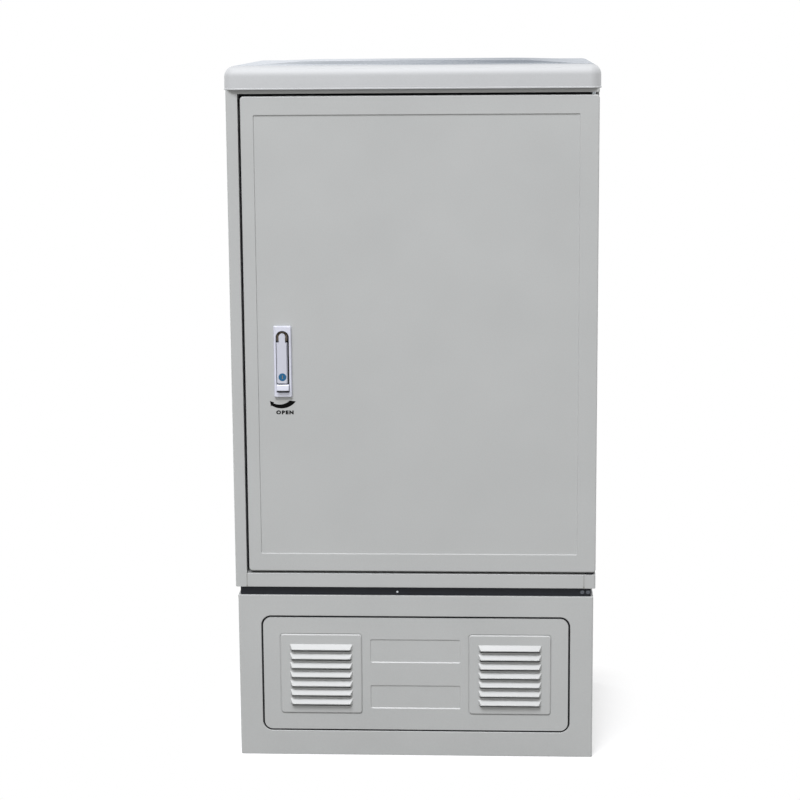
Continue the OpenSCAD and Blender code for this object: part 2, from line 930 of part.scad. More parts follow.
// Slot of the escutcheon: straight sides and a half-round top, between two depths
module handle_slot(near, far) {
    span([lock_x - slot_r, near, slot_low_z], [lock_x + slot_r, far, spindle_z]);
    translate([lock_x, far, spindle_z]) rotate([90, 0, 0]) rotate_extrude(angle = 180)
        square([slot_r, far - near]);
}

module lock_escutcheon() {
    color(lock_zinc) difference() {
        facing_front(lock_x, field_y, plate_mid_z) bevel_pad(plate_w, plate_h, plate_r, plate_t, plate_bevel);
        handle_slot(plate_y - cut_over, field_y + cut_over);
    }
}

module lock_housing() {
    half_w = housing_w / 2;
    half_h = housing_h / 2;
    stem_z = button_top_z - button_h / 2;
    color(dark_steel) difference() {
        span([lock_x - half_w, field_y, plate_mid_z - half_h],
             [lock_x + half_w, housing_back_y, plate_mid_z + half_h]);
        translate([lock_x, field_y - cut_over, spindle_z]) rotate([-90, 0, 0])
            cylinder(housing_back_y - field_y + 2 * cut_over, r = spindle_r + run_gap);
        translate([lock_x - stem_w / 2 - slide_gap, field_y - cut_over, stem_z - stem_h / 2 - slide_gap])
            cube([stem_w + 2 * slide_gap, stem_l + cut_over, stem_h + 2 * slide_gap]);
    }
}

// Shaft through the housing: square end for the crank, head with two ears for the handle
module lock_spindle() {
    ear_y = lift_y - ear_over;
    color(cast_grey) translate([lock_x, 0, spindle_z]) difference() {
        union() {
            translate([0, head_y]) rotate([-90, 0, 0]) cylinder(field_y - slide_gap - head_y, r = head_r);
            translate([0, field_y - slide_gap]) rotate([-90, 0, 0])
                cylinder(crank_y - field_y + slide_gap, r = spindle_r);
            span([-square_w / 2, crank_y, -square_w / 2], [square_w / 2, crank_back_y, square_w / 2]);
            for (side = [-1, 1])
                on_side(side) span([tongue_w / 2 + slide_gap, ear_y, -ear_h / 2],
                                   [tongue_w / 2 + slide_gap + ear_t, head_y, ear_h / 2]);
        }
        translate([-head_r, lift_y]) rotate([0, 90, 0]) cylinder(2 * head_r, r = lift_pin_r);
    }
}

module handle_pin() {
    reach = tongue_w / 2 + slide_gap + ear_t;
    color(lock_zinc) translate([lock_x - reach, lift_y, spindle_z]) rotate([0, 90, 0])
        cylinder(2 * reach, r = lift_pin_r);
}

// Crank on the spindle's square end, with a pin for each rod
module lock_crank() {
    color(zinc_steel) translate([lock_x, crank_back_y, spindle_z]) rotate([90, 0, 0]) {
        difference() {
            rotate(45) {
                translate([-crank_r, -crank_w / 2]) cube([2 * crank_r, crank_w, crank_t]);
                for (turn = [0, 180])
                    rotate(turn) translate([crank_r, 0]) rotate(-90) rotate_extrude(angle = 180)
                        square([crank_w / 2, crank_t]);
            }
            translate([-square_w / 2, -square_w / 2, -cut_over])
                cube([square_w, square_w, crank_t + 2 * cut_over]);
        }
        for (side = [-1, 1])
            translate([side * pin_at, side * pin_at, -slide_gap - rod_t - crank_pin_over])
                cylinder(rod_t + slide_gap + crank_pin_over, r = crank_pin_r);
    }
}

// Grip with sloping edges, and a round-ended tongue between the spindle's ears
module lock_handle() {
    grip_h = handle_l - tongue_drop;
    tongue_z = spindle_z + tongue_rise;
    color(lock_zinc) difference() {
        union() {
            facing_front(lock_x, handle_back_y, handle_low_z + grip_h / 2)
                bevel_pad(handle_w, grip_h, handle_corner_r, handle_t, handle_edge);
            span([lock_x - tongue_w / 2, handle_front_y, spindle_z - tongue_drop - handle_w],
                 [lock_x + tongue_w / 2, handle_back_y, tongue_z]);
            translate([lock_x, handle_back_y, tongue_z]) rotate([90, 0, 0]) rotate_extrude(angle = 180)
                square([tongue_w / 2, handle_t]);
        }
        translate([lock_x - tongue_w, lift_y, spindle_z]) rotate([0, 90, 0])
            cylinder(2 * tongue_w, r = lift_pin_r + run_gap);
        translate([lock_x, handle_front_y - cut_over, core_z]) rotate([-90, 0, 0])
            cylinder(handle_t + 2 * cut_over, r = core_r + run_gap);
    }
}

// Lock cylinder with its key slot
module key_core() {
    color(key_blue) translate([lock_x, handle_front_y - core_proud, core_z]) difference() {
        rotate([-90, 0, 0]) cylinder(handle_t, r = core_r);
        span([-core_slot_w / 2, -cut_over, -core_slot_h / 2], [core_slot_w / 2, core_slot_depth, core_slot_h / 2]);
    }
}

// Push-button that frees the handle: its face leans out downwards, and a stem guides it in the housing
module release_button() {
    mid_z = button_top_z - button_h / 2;
    low_z = button_top_z - button_h;
    toe_y = button_front_y - button_lean;
    color(lock_zinc) {
        translate([lock_x - button_w / 2, 0]) rotate([90, 0, 90]) linear_extrude(button_w)
            polygon([[button_back_y, low_z], [button_back_y, button_top_z],
                     [button_front_y + button_edge, button_top_z], [button_front_y, button_top_z - button_edge],
                     [toe_y, low_z + button_edge], [toe_y + button_edge, low_z]]);
        span([lock_x - stem_w / 2, button_front_y + button_edge, mid_z - stem_h / 2],
             [lock_x + stem_w / 2, field_y + stem_l - button_travel - slide_gap, mid_z + stem_h / 2]);
    }
}

// Lock rods

// Flat bar between two levels, with a cross slot for its crank pin
module rod_bar(x, low, high, yoke_z) {
    color(zinc_steel) difference() {
        span([x - rod_w / 2, rod_y, low], [x + rod_w / 2, rod_back_y, high]);
        translate([x, rod_y - cut_over, yoke_z]) rotate([-90, 0, 0])
            translate([-yoke_w / 2, -yoke_h / 2]) cube([yoke_w, yoke_h, rod_t + 2 * cut_over]);
    }
}

module upper_rod() {
    rod_bar(lock_x + rod_offset, spindle_z + pin_at - rod_end, upper_tip_z, spindle_z + pin_at);
}

module lower_rod() {
    rod_bar(lock_x - rod_offset, lower_tip_z, spindle_z - pin_at + rod_end, spindle_z - pin_at);
}

// Block on the lock rail that a rod slides through
module rod_guide(x, z) {
    half = rod_w / 2 + slide_gap;
    translate([x, 0, z]) difference() {
        span([-half - guide_wall, door_back_y, -guide_h / 2],
             [half + guide_wall, rod_back_y + slide_gap + guide_back, guide_h / 2]);
        span([-half, rod_y - slide_gap, -guide_h / 2 - cut_over],
             [half, rod_back_y + slide_gap, guide_h / 2 + cut_over]);
    }
}

module rod_guides() {
    color(white_nylon) {
        for (z = [plate_top_z + guide_near, upper_tip_z - guide_far]) rod_guide(lock_x + rod_offset, z);
        for (z = [plate_top_z - plate_h - guide_near, lower_tip_z + guide_far]) rod_guide(lock_x - rod_offset, z);
    }
}

// Equipment

// Channel that stands between floor and roof, open to the rear
module mounting_upright(x) {
    color(zinc_steel) difference() {
        span([x, upright_y, floor_z], [x + upright_w, upright_y + upright_d, body_top_z]);
        span([x + upright_wall, upright_y + upright_wall, floor_z - cut_over],
             [x + upright_w - upright_wall, upright_y + upright_d + cut_over, body_top_z + cut_over]);
    }
}

module frame_crossbars() {
    top_z = equip_z + unit_count * unit_pitch;
    color(zinc_steel) for (z = [equip_z - crossbar_h - unit_gap, top_z])
        span([unit_left_x, upright_y, z], [unit_right_x, upright_y + sheet_t, z + crossbar_h]);
}

// Sheet case, open to the front
module distribution_unit(index) {
    low = [unit_left_x, unit_front_y, equip_z + (index - 1) * unit_pitch];
    high = [unit_right_x, unit_back_y, low[2] + unit_h];
    wall = [unit_wall, unit_wall, unit_wall];
    color(zinc_steel) difference() {
        span(low, high);
        span([low[0] + unit_wall, unit_front_y - cut_over, low[2] + unit_wall], high - wall);
    }
}

// Splice trays held between the sides of a unit, each closed by its lid
module tray_stack(index) {
    low = [unit_left_x + unit_wall, unit_front_y + tray_set, equip_z + (index - 1) * unit_pitch + unit_wall];
    size = [unit_w - 2 * unit_wall, unit_d - tray_set - unit_wall, tray_t - lid_t];
    color(tray_blue) for (row = [0:tray_count - 1])
        translate(low + [0, 0, row * tray_pitch]) {
            cube(size);
            translate([lid_in, lid_in, size[2]]) cube([size[0] - 2 * lid_in, size[1] - 2 * lid_in, lid_t]);
        }
}

module spool_plate() {
    color(zinc_steel) span([equip_right_x, upright_y, equip_z],
                           [inner_right_x, upright_y + sheet_t, equip_z + unit_count * unit_pitch]);
}

// Flanged drums that slack fibre is wound on
module fibre_spools() {
    flange_r = spool_r + spool_flange;
    color(tray_blue) for (row = [0:spool_count - 1])
        translate([spool_x, upright_y, equip_z + (row + 1 / 2) * spool_pitch]) rotate([90, 0, 0])
            rotate_extrude()
                polygon([[0, 0], [spool_r, 0], [spool_r, spool_l - spool_flange_t],
                         [flange_r, spool_l - spool_flange_t], [flange_r, spool_l], [0, spool_l]]);
}

module cable_clamp_bar() {
    color(zinc_steel) span([inner_left_x, clamp_bar_y, clamp_bar_z],
                           [inner_right_x, clamp_bar_y + clamp_bar_d, clamp_bar_z + clamp_bar_h]);
}

// Saddles on the bar, one above each cable entry, with a groove for the cable
module cable_clamps() {
    color(black_rubber) for (col = grommet_cols)
        translate([col * grommet_pitch_x, clamp_bar_y + clamp_bar_d, clamp_bar_z]) difference() {
            translate([-cable_clamp_w / 2, 0]) cube([cable_clamp_w, cable_clamp_d, cable_clamp_h]);
            translate([0, cable_clamp_d, -cut_over]) cylinder(cable_clamp_h + 2 * cut_over, r = cable_groove_r);
        }
}

// Copper bar on two bent feet
module earth_bar() {
    color(copper) translate([-earth_l / 2, earth_y, floor_z]) {
        span([0, 0, earth_lift], [earth_l, earth_t, earth_lift + earth_h]);
        for (x = [0, earth_l - earth_foot]) translate([x, 0]) {
            span([0, 0, 0], [earth_foot, earth_t, earth_lift]);
            span([0, earth_t, 0], [earth_foot, earth_t + earth_foot, earth_t]);
        }
    }
}

base_front_panel();
base_rear_panel();
base_side_panel(-1);  // base_left_panel
base_side_panel(1);  // base_right_panel
base_corner_angles();
base_louvre_cover();
cover_clamps();
anchor_rail(-1);  // anchor_rail_left
anchor_rail(1);  // anchor_rail_right
support_frame();
gland_plate();
cable_grommets();
left_side_panel();
right_side_panel();
rear_panel();
front_sill();
front_header();
seal_frame();
roof_panel();
hood();
hood_posts();
lower_hinge_pin();
upper_hinge_pin();
hinge_washer();
rod_keepers();
mounting_upright(equip_left_x);  // mounting_upright_left
mounting_upright(unit_right_x);  // mounting_upright_right
frame_crossbars();
for (index = [1:unit_count])
    distribution_unit(index);
for (index = [1:unit_count])
    tray_stack(index);
spool_plate();
fibre_spools();
cable_clamp_bar();
cable_clamps();
earth_bar();
door_skin();
door_inner_frame();
door_gasket();
lock_rail();
lower_pivot_block();
upper_pivot_block();
lock_escutcheon();
lock_housing();
rod_guides();
document_holder();
lock_spindle();
lock_crank();
handle_pin();
lock_handle();
key_core();
release_button();
upper_rod();
lower_rod();
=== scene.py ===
# %% [markdown]
# A roadside utility cabinet holds the joints of a fibre-optic network beside a street. It is pressed
# from grey glass-fibre compound: a louvred plinth, a body with one door and a crowned hood. The CAD
# model already has every solid at its true place, so this notebook loads it as a fixed frame, rounds
# the edges that catch light, gives each surface its finish and adds what is too small for the solids.

# %% Load the part and measure it
import json
import math

import bmesh
import bpy
from mathutils import Matrix, Vector

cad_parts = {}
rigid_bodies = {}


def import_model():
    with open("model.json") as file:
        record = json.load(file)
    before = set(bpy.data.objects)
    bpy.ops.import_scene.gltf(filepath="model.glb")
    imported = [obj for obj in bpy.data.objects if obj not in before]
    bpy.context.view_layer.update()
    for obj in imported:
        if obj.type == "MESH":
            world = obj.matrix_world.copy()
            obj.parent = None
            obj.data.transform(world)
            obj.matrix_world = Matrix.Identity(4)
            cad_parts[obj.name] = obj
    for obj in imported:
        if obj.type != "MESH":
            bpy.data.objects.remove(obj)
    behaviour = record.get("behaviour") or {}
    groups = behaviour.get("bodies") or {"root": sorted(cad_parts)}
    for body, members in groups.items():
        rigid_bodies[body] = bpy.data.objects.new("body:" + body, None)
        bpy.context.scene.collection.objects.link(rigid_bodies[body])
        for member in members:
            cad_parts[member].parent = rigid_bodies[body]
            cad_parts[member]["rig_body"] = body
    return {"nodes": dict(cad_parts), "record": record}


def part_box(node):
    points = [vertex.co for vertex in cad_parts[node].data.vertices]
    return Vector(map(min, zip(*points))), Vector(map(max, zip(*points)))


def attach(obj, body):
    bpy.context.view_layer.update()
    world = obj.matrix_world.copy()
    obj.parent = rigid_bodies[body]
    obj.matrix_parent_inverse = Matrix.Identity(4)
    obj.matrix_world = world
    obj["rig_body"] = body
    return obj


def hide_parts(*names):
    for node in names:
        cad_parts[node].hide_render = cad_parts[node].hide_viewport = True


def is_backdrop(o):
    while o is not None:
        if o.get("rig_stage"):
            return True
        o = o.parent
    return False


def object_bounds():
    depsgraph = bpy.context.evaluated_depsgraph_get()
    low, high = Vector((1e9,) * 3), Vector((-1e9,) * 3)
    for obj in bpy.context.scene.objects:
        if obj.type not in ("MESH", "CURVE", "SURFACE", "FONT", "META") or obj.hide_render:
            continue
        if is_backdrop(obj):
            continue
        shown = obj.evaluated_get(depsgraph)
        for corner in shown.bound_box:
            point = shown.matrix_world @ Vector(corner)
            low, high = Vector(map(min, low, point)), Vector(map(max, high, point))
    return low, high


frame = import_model()
nodes = frame["nodes"]
cad_low, cad_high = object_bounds()
MM = 0.001
print("solids loaded:", len(nodes), "size in mm:", [round(v / MM, 1) for v in cad_high - cad_low])

# %% [markdown]
# Colours are easiest to choose as the sRGB hex values that a screen shows, but Blender's shaders work
# in linear light. One function converts them. One more adds a node to any tree: its inputs take a
# plain value, a socket, or an earlier node, whose first output is then used, so a whole finish reads
# from top to bottom. Two others start a material and end it: the last one mixes two tones, spreads the
# roughness over a span and adds a shallow bump, each driven by a texture that the finish hands over. A
# bump is given as its strength and its depth in millimetres.


# %% Helpers for colours and nodes
def linear(hex_colour):
    channels = [int(hex_colour[i:i + 2], 16) / 255 for i in (1, 3, 5)]
    light = [c / 12.92 if c <= 0.04045 else ((c + 0.055) / 1.055) ** 2.4 for c in channels]
    return (*light, 1.0)


def add_node(tree, kind, inputs=None, **settings):
    node = tree.nodes.new(kind)
    for name, value in settings.items():
        setattr(node, name, value)
    for key, value in (inputs or {}).items():
        if isinstance(value, bpy.types.Node):
            value = value.outputs[0]
        if isinstance(value, bpy.types.NodeSocket):
            tree.links.new(value, node.inputs[key])
        else:
            node.inputs[key].default_value = value
    return node


# A Mix node for colours has them at inputs 6 and 7 and the result at output 2. One for numbers has them
# at inputs 2 and 3.
MIX_A, MIX_B, MIX_OUT = 6, 7, 2
NUMBER_A, NUMBER_B = 2, 3
WHITE = (1, 1, 1, 1)


def start_finish(name):
    material = bpy.data.materials.new(name)
    material.use_nodes = True
    tree = material.node_tree
    place = add_node(tree, "ShaderNodeTexCoord").outputs["Object"]
    return material, tree, tree.nodes["Principled BSDF"], place


def end_finish(tree, shader, tint, tones, gloss, span, relief, bump_size, swing=(0.0, 1.0)):
    light, dark = tones
    strength, deep_mm = bump_size
    colour = add_node(tree, "ShaderNodeMix", {0: tint, MIX_A: linear(dark), MIX_B: linear(light)},
                      data_type="RGBA")
    rough = add_node(tree, "ShaderNodeMapRange",
                     {"Value": gloss, "From Min": swing[0], "From Max": swing[1],
                      "To Min": span[0], "To Max": span[1]})
    bump = add_node(tree, "ShaderNodeBump",
                    {"Height": relief, "Strength": strength, "Distance": deep_mm * MM}, name="grain bump")
    tree.links.new(colour.outputs[MIX_OUT], shader.inputs["Base Color"])
    tree.links.new(rough.outputs[0], shader.inputs["Roughness"])
    tree.links.new(bump.outputs[0], shader.inputs["Normal"])


def per_metre(size_mm):
    return 1 / (size_mm * MM)


print("a mid grey of #bbbbbb is", round(linear("#bbbbbb")[0], 3), "in linear light")

# %% [markdown]
# The panels are sheet moulding compound: chopped glass fibre in polyester, pressed hot in a polished
# steel mould. It comes out satin and very even, with a faint cloudiness where the resin flowed and a
# fine grain from the fibres. Noise at two scales gives the cloud and the grain, and the same grain
# drives a very shallow bump. The real grain is under a millimetre, and it is drawn at 2.6 mm so that
# it shows at all.

# %% Finish: moulded compound of the body and the hood
CLOUD_MM, CLOUD_SWING = 160, (0.3, 0.7)
GRAIN_MM, GRAIN_BUMP = 2.6, (0.06, 0.4)
TINT_FROM, TINT_TO = 0.6, 1.4
GLOSS_SWING = 0.1
COMPOUND_IOR = 1.5


def moulded_compound(name, tone, shade, roughness):
    material, tree, shader, place = start_finish(name)
    cloud = add_node(tree, "ShaderNodeTexNoise",
                     {"Vector": place, "Scale": per_metre(CLOUD_MM), "Detail": 2.0})
    grain = add_node(tree, "ShaderNodeTexNoise",
                     {"Vector": place, "Scale": per_metre(GRAIN_MM), "Detail": 4.0})
    both = add_node(tree, "ShaderNodeMath", {0: cloud, 1: grain}, operation="ADD")
    tint = add_node(tree, "ShaderNodeMapRange", {"Value": both, "From Min": TINT_FROM, "From Max": TINT_TO})
    span = ((1 - GLOSS_SWING) * roughness, (1 + GLOSS_SWING) * roughness)
    end_finish(tree, shader, tint, (tone, shade), cloud, span, grain, GRAIN_BUMP, CLOUD_SWING)
    shader.inputs["IOR"].default_value = COMPOUND_IOR
    return material


body_compound = moulded_compound("smc_body_satin_grey", "#b8bab9", "#b1b3b2", 0.42)
hood_compound = moulded_compound("smc_hood_satin_grey", "#bfc1c2", "#b8babb", 0.55)
print("moulded finishes:", body_compound.name, hood_compound.name)

# %% [markdown]
# The top of the hood has a clear gel coat against rain and is seen almost edge on, where every surface
# turns into a mirror. A long slow ripple, as any large thin pressing has, breaks that mirror up into
# streaks. The height of a point tells the top from the skirt: a mask on Z brings in the coat, the lower
# roughness, the ripple and a painted shade, a darker tone for the strongly lit top, only there.

# %% Finish: polished top of the hood
RIPPLE_MM, RIPPLE_DEEP_MM, RIPPLE_SQUEEZE = 90, 2.0, 0.3
TOP_ROUGHNESS = 0.1
TOP_FROM, TOP_FULL = cad_high.z - 12 * MM, cad_high.z - 6.5 * MM
# This tone multiplies the top's colour: painted shade that keeps the strongly lit top from glaring.
TOP_PAINTED_SHADE = "#eaebed"

hood_tree = hood_compound.node_tree
hood_shader = hood_tree.nodes["Principled BSDF"]
skirt_rough = hood_shader.inputs["Roughness"].links[0].from_socket
skirt_tone = hood_shader.inputs["Base Color"].links[0].from_socket
hood_place = add_node(hood_tree, "ShaderNodeTexCoord").outputs["Object"]
hood_axes = add_node(hood_tree, "ShaderNodeSeparateXYZ", {0: hood_place})
on_top = add_node(hood_tree, "ShaderNodeMapRange",
                  {"Value": hood_axes.outputs["Z"], "From Min": TOP_FROM, "From Max": TOP_FULL})
polish = add_node(hood_tree, "ShaderNodeMix", {0: on_top, NUMBER_A: skirt_rough, NUMBER_B: TOP_ROUGHNESS})
top_shaded_tone = add_node(hood_tree, "ShaderNodeMix", {0: on_top, MIX_A: skirt_tone, MIX_B: linear(TOP_PAINTED_SHADE)},
                 data_type="RGBA", blend_type="MULTIPLY")
long_waves = add_node(hood_tree, "ShaderNodeMapping",
                      {"Vector": hood_place, "Scale": (RIPPLE_SQUEEZE, 1.0, 1.0)})
ripple = add_node(hood_tree, "ShaderNodeTexNoise",
                  {"Vector": long_waves, "Scale": per_metre(RIPPLE_MM), "Detail": 1.0})
swell = add_node(hood_tree, "ShaderNodeMath", {0: ripple, 1: on_top}, operation="MULTIPLY")
wave = add_node(hood_tree, "ShaderNodeBump",
                {"Height": swell, "Strength": 1.0, "Distance": RIPPLE_DEEP_MM * MM})
hood_tree.links.new(wave.outputs[0], hood_tree.nodes["grain bump"].inputs["Normal"])
hood_tree.links.new(top_shaded_tone.outputs[MIX_OUT], hood_shader.inputs["Base Color"])
hood_tree.links.new(polish.outputs[0], hood_shader.inputs["Roughness"])
hood_tree.links.new(on_top.outputs[0], hood_shader.inputs["Coat Weight"])
hood_shader.inputs["Coat Roughness"].default_value = TOP_ROUGHNESS
print("hood finish nodes:", len(hood_tree.nodes))

# %% [markdown]
# The frame strip and the foot rails are steel with a dark powder coat. The same dark tone also paints
# the shade of the frame strip, recessed under the sill, and of the seal frame seen through the door's
# top gap. The powder melts into a skin with a slight orange peel, so the light breaks up in soft spots
# of about a millimetre. One noise drives the bump, and a wider one moves the tone between blue-black
# and charcoal.

# %% Finish: dark powder-coated steel, also painted shade
PEEL_MM, PEEL_BUMP = 1.8, (0.2, 0.3)
COAT_CLOUD_MM = 55
COAT_SPAN = (0.5, 0.7)
COAT_SHEEN = 0.25


def powder_coat(name, tone, shade):
    material, tree, shader, place = start_finish(name)
    peel = add_node(tree, "ShaderNodeTexNoise",
                    {"Vector": place, "Scale": per_metre(PEEL_MM), "Detail": 2.0})
    cloud = add_node(tree, "ShaderNodeTexNoise", {"Vector": place, "Scale": per_metre(COAT_CLOUD_MM)})
    end_finish(tree, shader, cloud, (tone, shade), peel, COAT_SPAN, peel, PEEL_BUMP)
    shader.inputs["Specular IOR Level"].default_value = COAT_SHEEN
    return material


# This dark tone also paints the shade of the recessed frame strip and of the seal frame behind the door's top
# gap.
dark_coat_and_shade = powder_coat("steel_dark_coat_and_painted_shade", "#1d2026", "#14161a")
print("coated finish:", dark_coat_and_shade.name)

# %% [markdown]
# Inside, the sheet steel is hot-dip galvanised. Zinc freezes in crystals a centimetre across, each
# with its own brightness, which is the spangle that everyone knows from street lamps. A Voronoi
# texture has just such cells: each cell's random colour picks its tone and its roughness.

# %% Finish: galvanised steel
SPANGLE_MM = 11
SCUFF_MM, SCUFF_BUMP = 0.9, (0.08, 0.2)
ZINC_SPAN = (0.34, 0.52)


def galvanised(name, bright, dull):
    material, tree, shader, place = start_finish(name)
    cells = add_node(tree, "ShaderNodeTexVoronoi",
                     {"Vector": place, "Scale": per_metre(SPANGLE_MM), "Randomness": 1.0})
    level = add_node(tree, "ShaderNodeSeparateColor", {0: cells.outputs["Color"]}).outputs
    scuff = add_node(tree, "ShaderNodeTexNoise",
                     {"Vector": place, "Scale": per_metre(SCUFF_MM), "Detail": 3.0})
    end_finish(tree, shader, level[0], (bright, dull), level[1], ZINC_SPAN, scuff, SCUFF_BUMP)
    shader.inputs["Metallic"].default_value = 1.0
    return material


zinc_sheet = galvanised("steel_galvanised_spangle", "#c6cacc", "#aab0b4")
print("galvanised finish:", zinc_sheet.name)

# %% [markdown]
# The lock is die-cast zinc with a satin silver finish that looks faintly lavender beside the grey
# door. It was linished upright, so it has very fine vertical lines. Noise that is stretched along Z
# makes such lines: it changes quickly across them and slowly along them. The same function, with
# other tones and another direction of stretch, also gives the rolled copper of the earth bar.

# %% Finish: brushed metals
LINE_MM, LINE_BUMP = 0.8, (0.1, 0.1)
LINE_LENGTH = 30
BRUSHED_SPAN = (0.3, 0.48)


def brushed_metal(name, bright, dull, metallic, along):
    material, tree, shader, place = start_finish(name)
    stretch = [1.0, 1.0, 1.0]
    stretch[along] = 1 / LINE_LENGTH
    lines = add_node(tree, "ShaderNodeMapping", {"Vector": place, "Scale": stretch})
    brush = add_node(tree, "ShaderNodeTexNoise",
                     {"Vector": lines, "Scale": per_metre(LINE_MM), "Detail": 3.0})
    end_finish(tree, shader, brush, (bright, dull), brush, BRUSHED_SPAN, brush, LINE_BUMP)
    shader.inputs["Metallic"].default_value = metallic
    return material


lock_silver = brushed_metal("zinc_satin_silver", "#d6d8e3", "#c9cbd7", 0.15, along=2)
# The handle gets a darker copy of the plate's satin silver: painted shade that evens its light with the
# plate's.
handle_silver_shaded_copy = brushed_metal("zinc_satin_silver_shaded_copy", "#c9cbd5", "#bdbfca", 0.15, along=2)
# The as-cast steel is toned darker than its own colour: painted shade of the deep slot round the handle.
cast_metal_painted_shade = brushed_metal("steel_as_cast_painted_shade", "#62574a", "#3a332b", 0.7, along=1)
rolled_copper = brushed_metal("copper_rolled", "#c98a5f", "#b0734a", 1.0, along=0)
bolt_steel = brushed_metal("steel_bright_zinc", "#c9cdd0", "#a9aeb2", 1.0, along=0)
dull_steel = brushed_metal("steel_dull_zinc", "#606368", "#484b50", 0.9, along=0)
key_brass = brushed_metal("brass_key_way", "#a98d63", "#8c7350", 0.8, along=2)
print("brushed finishes:", lock_silver.name, rolled_copper.name, bolt_steel.name, key_brass.name)

# %% [markdown]
# Small mouldings fill the rest: black rubber for the gaskets and the cable entries, nylon for the rod
# guides, pale plastic for the trays and spools, blue plastic for the key core and the connectors.
# They differ in tone, roughness, depth of grain and sheen, so one function makes them all. Rubber is
# rough and dusty, nylon is waxy, the blue core is glossy, and printing ink has hardly any sheen.

# %% Finish: rubber and small plastic mouldings
SKIN_MM, SKIN_DEEP_MM = 1.4, 0.2
SKIN_SWING = 0.06


def small_moulding(name, tone, shade, roughness, depth, sheen=0.35):
    material, tree, shader, place = start_finish(name)
    skin = add_node(tree, "ShaderNodeTexNoise",
                    {"Vector": place, "Scale": per_metre(SKIN_MM), "Detail": 3.0})
    span = (roughness - SKIN_SWING, roughness + SKIN_SWING)
    end_finish(tree, shader, skin, (tone, shade), skin, span, skin, (depth, SKIN_DEEP_MM))
    shader.inputs["Specular IOR Level"].default_value = sheen
    return material


# Black rubber is also the slot of the hinge washers, seen through the gap beside the door; its black paints
# their shade.
black_rubber = small_moulding("rubber_black_and_gap_shade", "#202124", "#18191b", 0.78, 0.3)
white_nylon = small_moulding("nylon_natural", "#e7e6df", "#deddd5", 0.45, 0.08)
tray_plastic = small_moulding("abs_pale_grey_blue", "#d7dde2", "#cdd4da", 0.42, 0.06)
key_plastic = small_moulding("abs_key_blue", "#0f6592", "#0a4f76", 0.3, 0.04)
connector_blue = small_moulding("pbt_connector_blue", "#2f6fb4", "#245c9b", 0.36, 0.06)
cap_plastic = small_moulding("pe_dust_cap", "#eef0f0", "#e4e6e6", 0.5, 0.05)
joint_sealant = small_moulding("sealant_grey", "#8d8d87", "#7c7c76", 0.55, 0.1)
print_ink = small_moulding("screen_print_black", "#080808", "#040404", 0.8, 0.05, sheen=0.06)
print("moulded finishes:", black_rubber.name, white_nylon.name, tray_plastic.name, key_plastic.name)

# %% [markdown]
# The record says which finish each solid takes, by the name of a material slot. Every solid gets its
# procedural material here, also those that a softened copy will stand in for later.

# %% Give each solid its finish
FINISHES = {
    "smc_body": body_compound, "smc_hood": hood_compound, "dark_steel": dark_coat_and_shade,
    "galvanised_steel": zinc_sheet, "lock_zinc": lock_silver, "cast_steel": cast_metal_painted_shade,
    "black_rubber": black_rubber, "white_nylon": white_nylon, "pale_plastic": tray_plastic,
    "copper_bar": rolled_copper, "key_blue": key_plastic,
}
slots = {part["node"]: part["material_slot"] for part in frame["record"]["subparts"]}
for name, solid in nodes.items():
    solid.data.materials.clear()
    solid.data.materials.append(FINISHES[slots[name]])
print("finishes given:", len(slots))

# %% [markdown]
# Nothing pressed or cast has knife edges: the mould's own corners are rounded, and that thin rounding
# is what draws the bright lines along real edges. A CAD mesh is loose triangles, so a copy is welded,
# its flat faces are joined up again, and a Bevel modifier rounds what is sharp. A Weighted Normal
# modifier then keeps the wide faces flat. The copy replaces its solid and rides on the same body.

# %% Helpers that round a copy of a solid
WELD = 0.002 * MM
FLAT_ANGLE, SHARP_ANGLE = math.radians(0.6), math.radians(24)


def new_object(name, data):
    made = bpy.data.objects.new(name, data)
    bpy.context.scene.collection.objects.link(made)
    return made


def add_piece(name, mesh, body, material=None):
    piece = new_object(name, mesh)
    if material:
        mesh.materials.clear()
        mesh.materials.append(material)
    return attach(piece, body)


def welded_copy(name, join_flats):
    shape = bmesh.new()
    shape.from_mesh(nodes[name].data)
    bmesh.ops.remove_doubles(shape, verts=shape.verts, dist=WELD)
    if join_flats:
        bmesh.ops.dissolve_limit(shape, angle_limit=FLAT_ANGLE, verts=shape.verts, edges=shape.edges)
    shape.verts.index_update()
    mesh = bpy.data.meshes.new(name)
    mesh.from_pydata([v.co for v in shape.verts], [], [[v.index for v in f.verts] for f in shape.faces])
    shape.free()
    return mesh


def weigh_outer_edges(mesh):
    """Gives full bevel weight to sharp edges that stand out, and none to those in a corner."""
    shape = bmesh.new()
    shape.from_mesh(mesh)
    weight = shape.edges.layers.float.new("bevel_weight_edge")
    for edge in shape.edges:
        edge[weight] = 1.0 if edge.calc_face_angle_signed(0) > SHARP_ANGLE else 0.0
    shape.to_mesh(mesh)
    shape.free()


def round_edges(piece, width_mm, segments, outer_only):
    for face in piece.data.polygons:
        face.use_smooth = True
    if outer_only:
        weigh_outer_edges(piece.data)
    bevel = piece.modifiers.new("rounded edges", "BEVEL")
    bevel.width = width_mm * MM
    bevel.segments = segments
    bevel.limit_method = "WEIGHT" if outer_only else "ANGLE"
    bevel.angle_limit = SHARP_ANGLE
    bevel.miter_outer = "MITER_ARC"
    normals = piece.modifiers.new("flat faces", "WEIGHTED_NORMAL")
    normals.keep_sharp = True


def soften(name, width_mm, segments=3, join_flats=True, material=None, outer_only=False):
    body = nodes[name]["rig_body"]
    finish = material or FINISHES[slots[name]]
    piece = add_piece(name + "_rounded", welded_copy(name, join_flats), body, finish)
    round_edges(piece, width_mm, segments, outer_only)
    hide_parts(name)
    return piece


print("edges are sharp from", round(math.degrees(SHARP_ANGLE)), "degrees on")

# %% [markdown]
# Thick mouldings have wider edges than thin sheet, and the small parts of the lock have the narrowest.
# The push-button is rounded only where it stands out, because a fillet round its stem would foul the
# lock. The handle's grip has a little play and lies nearer to the left side of its slot.

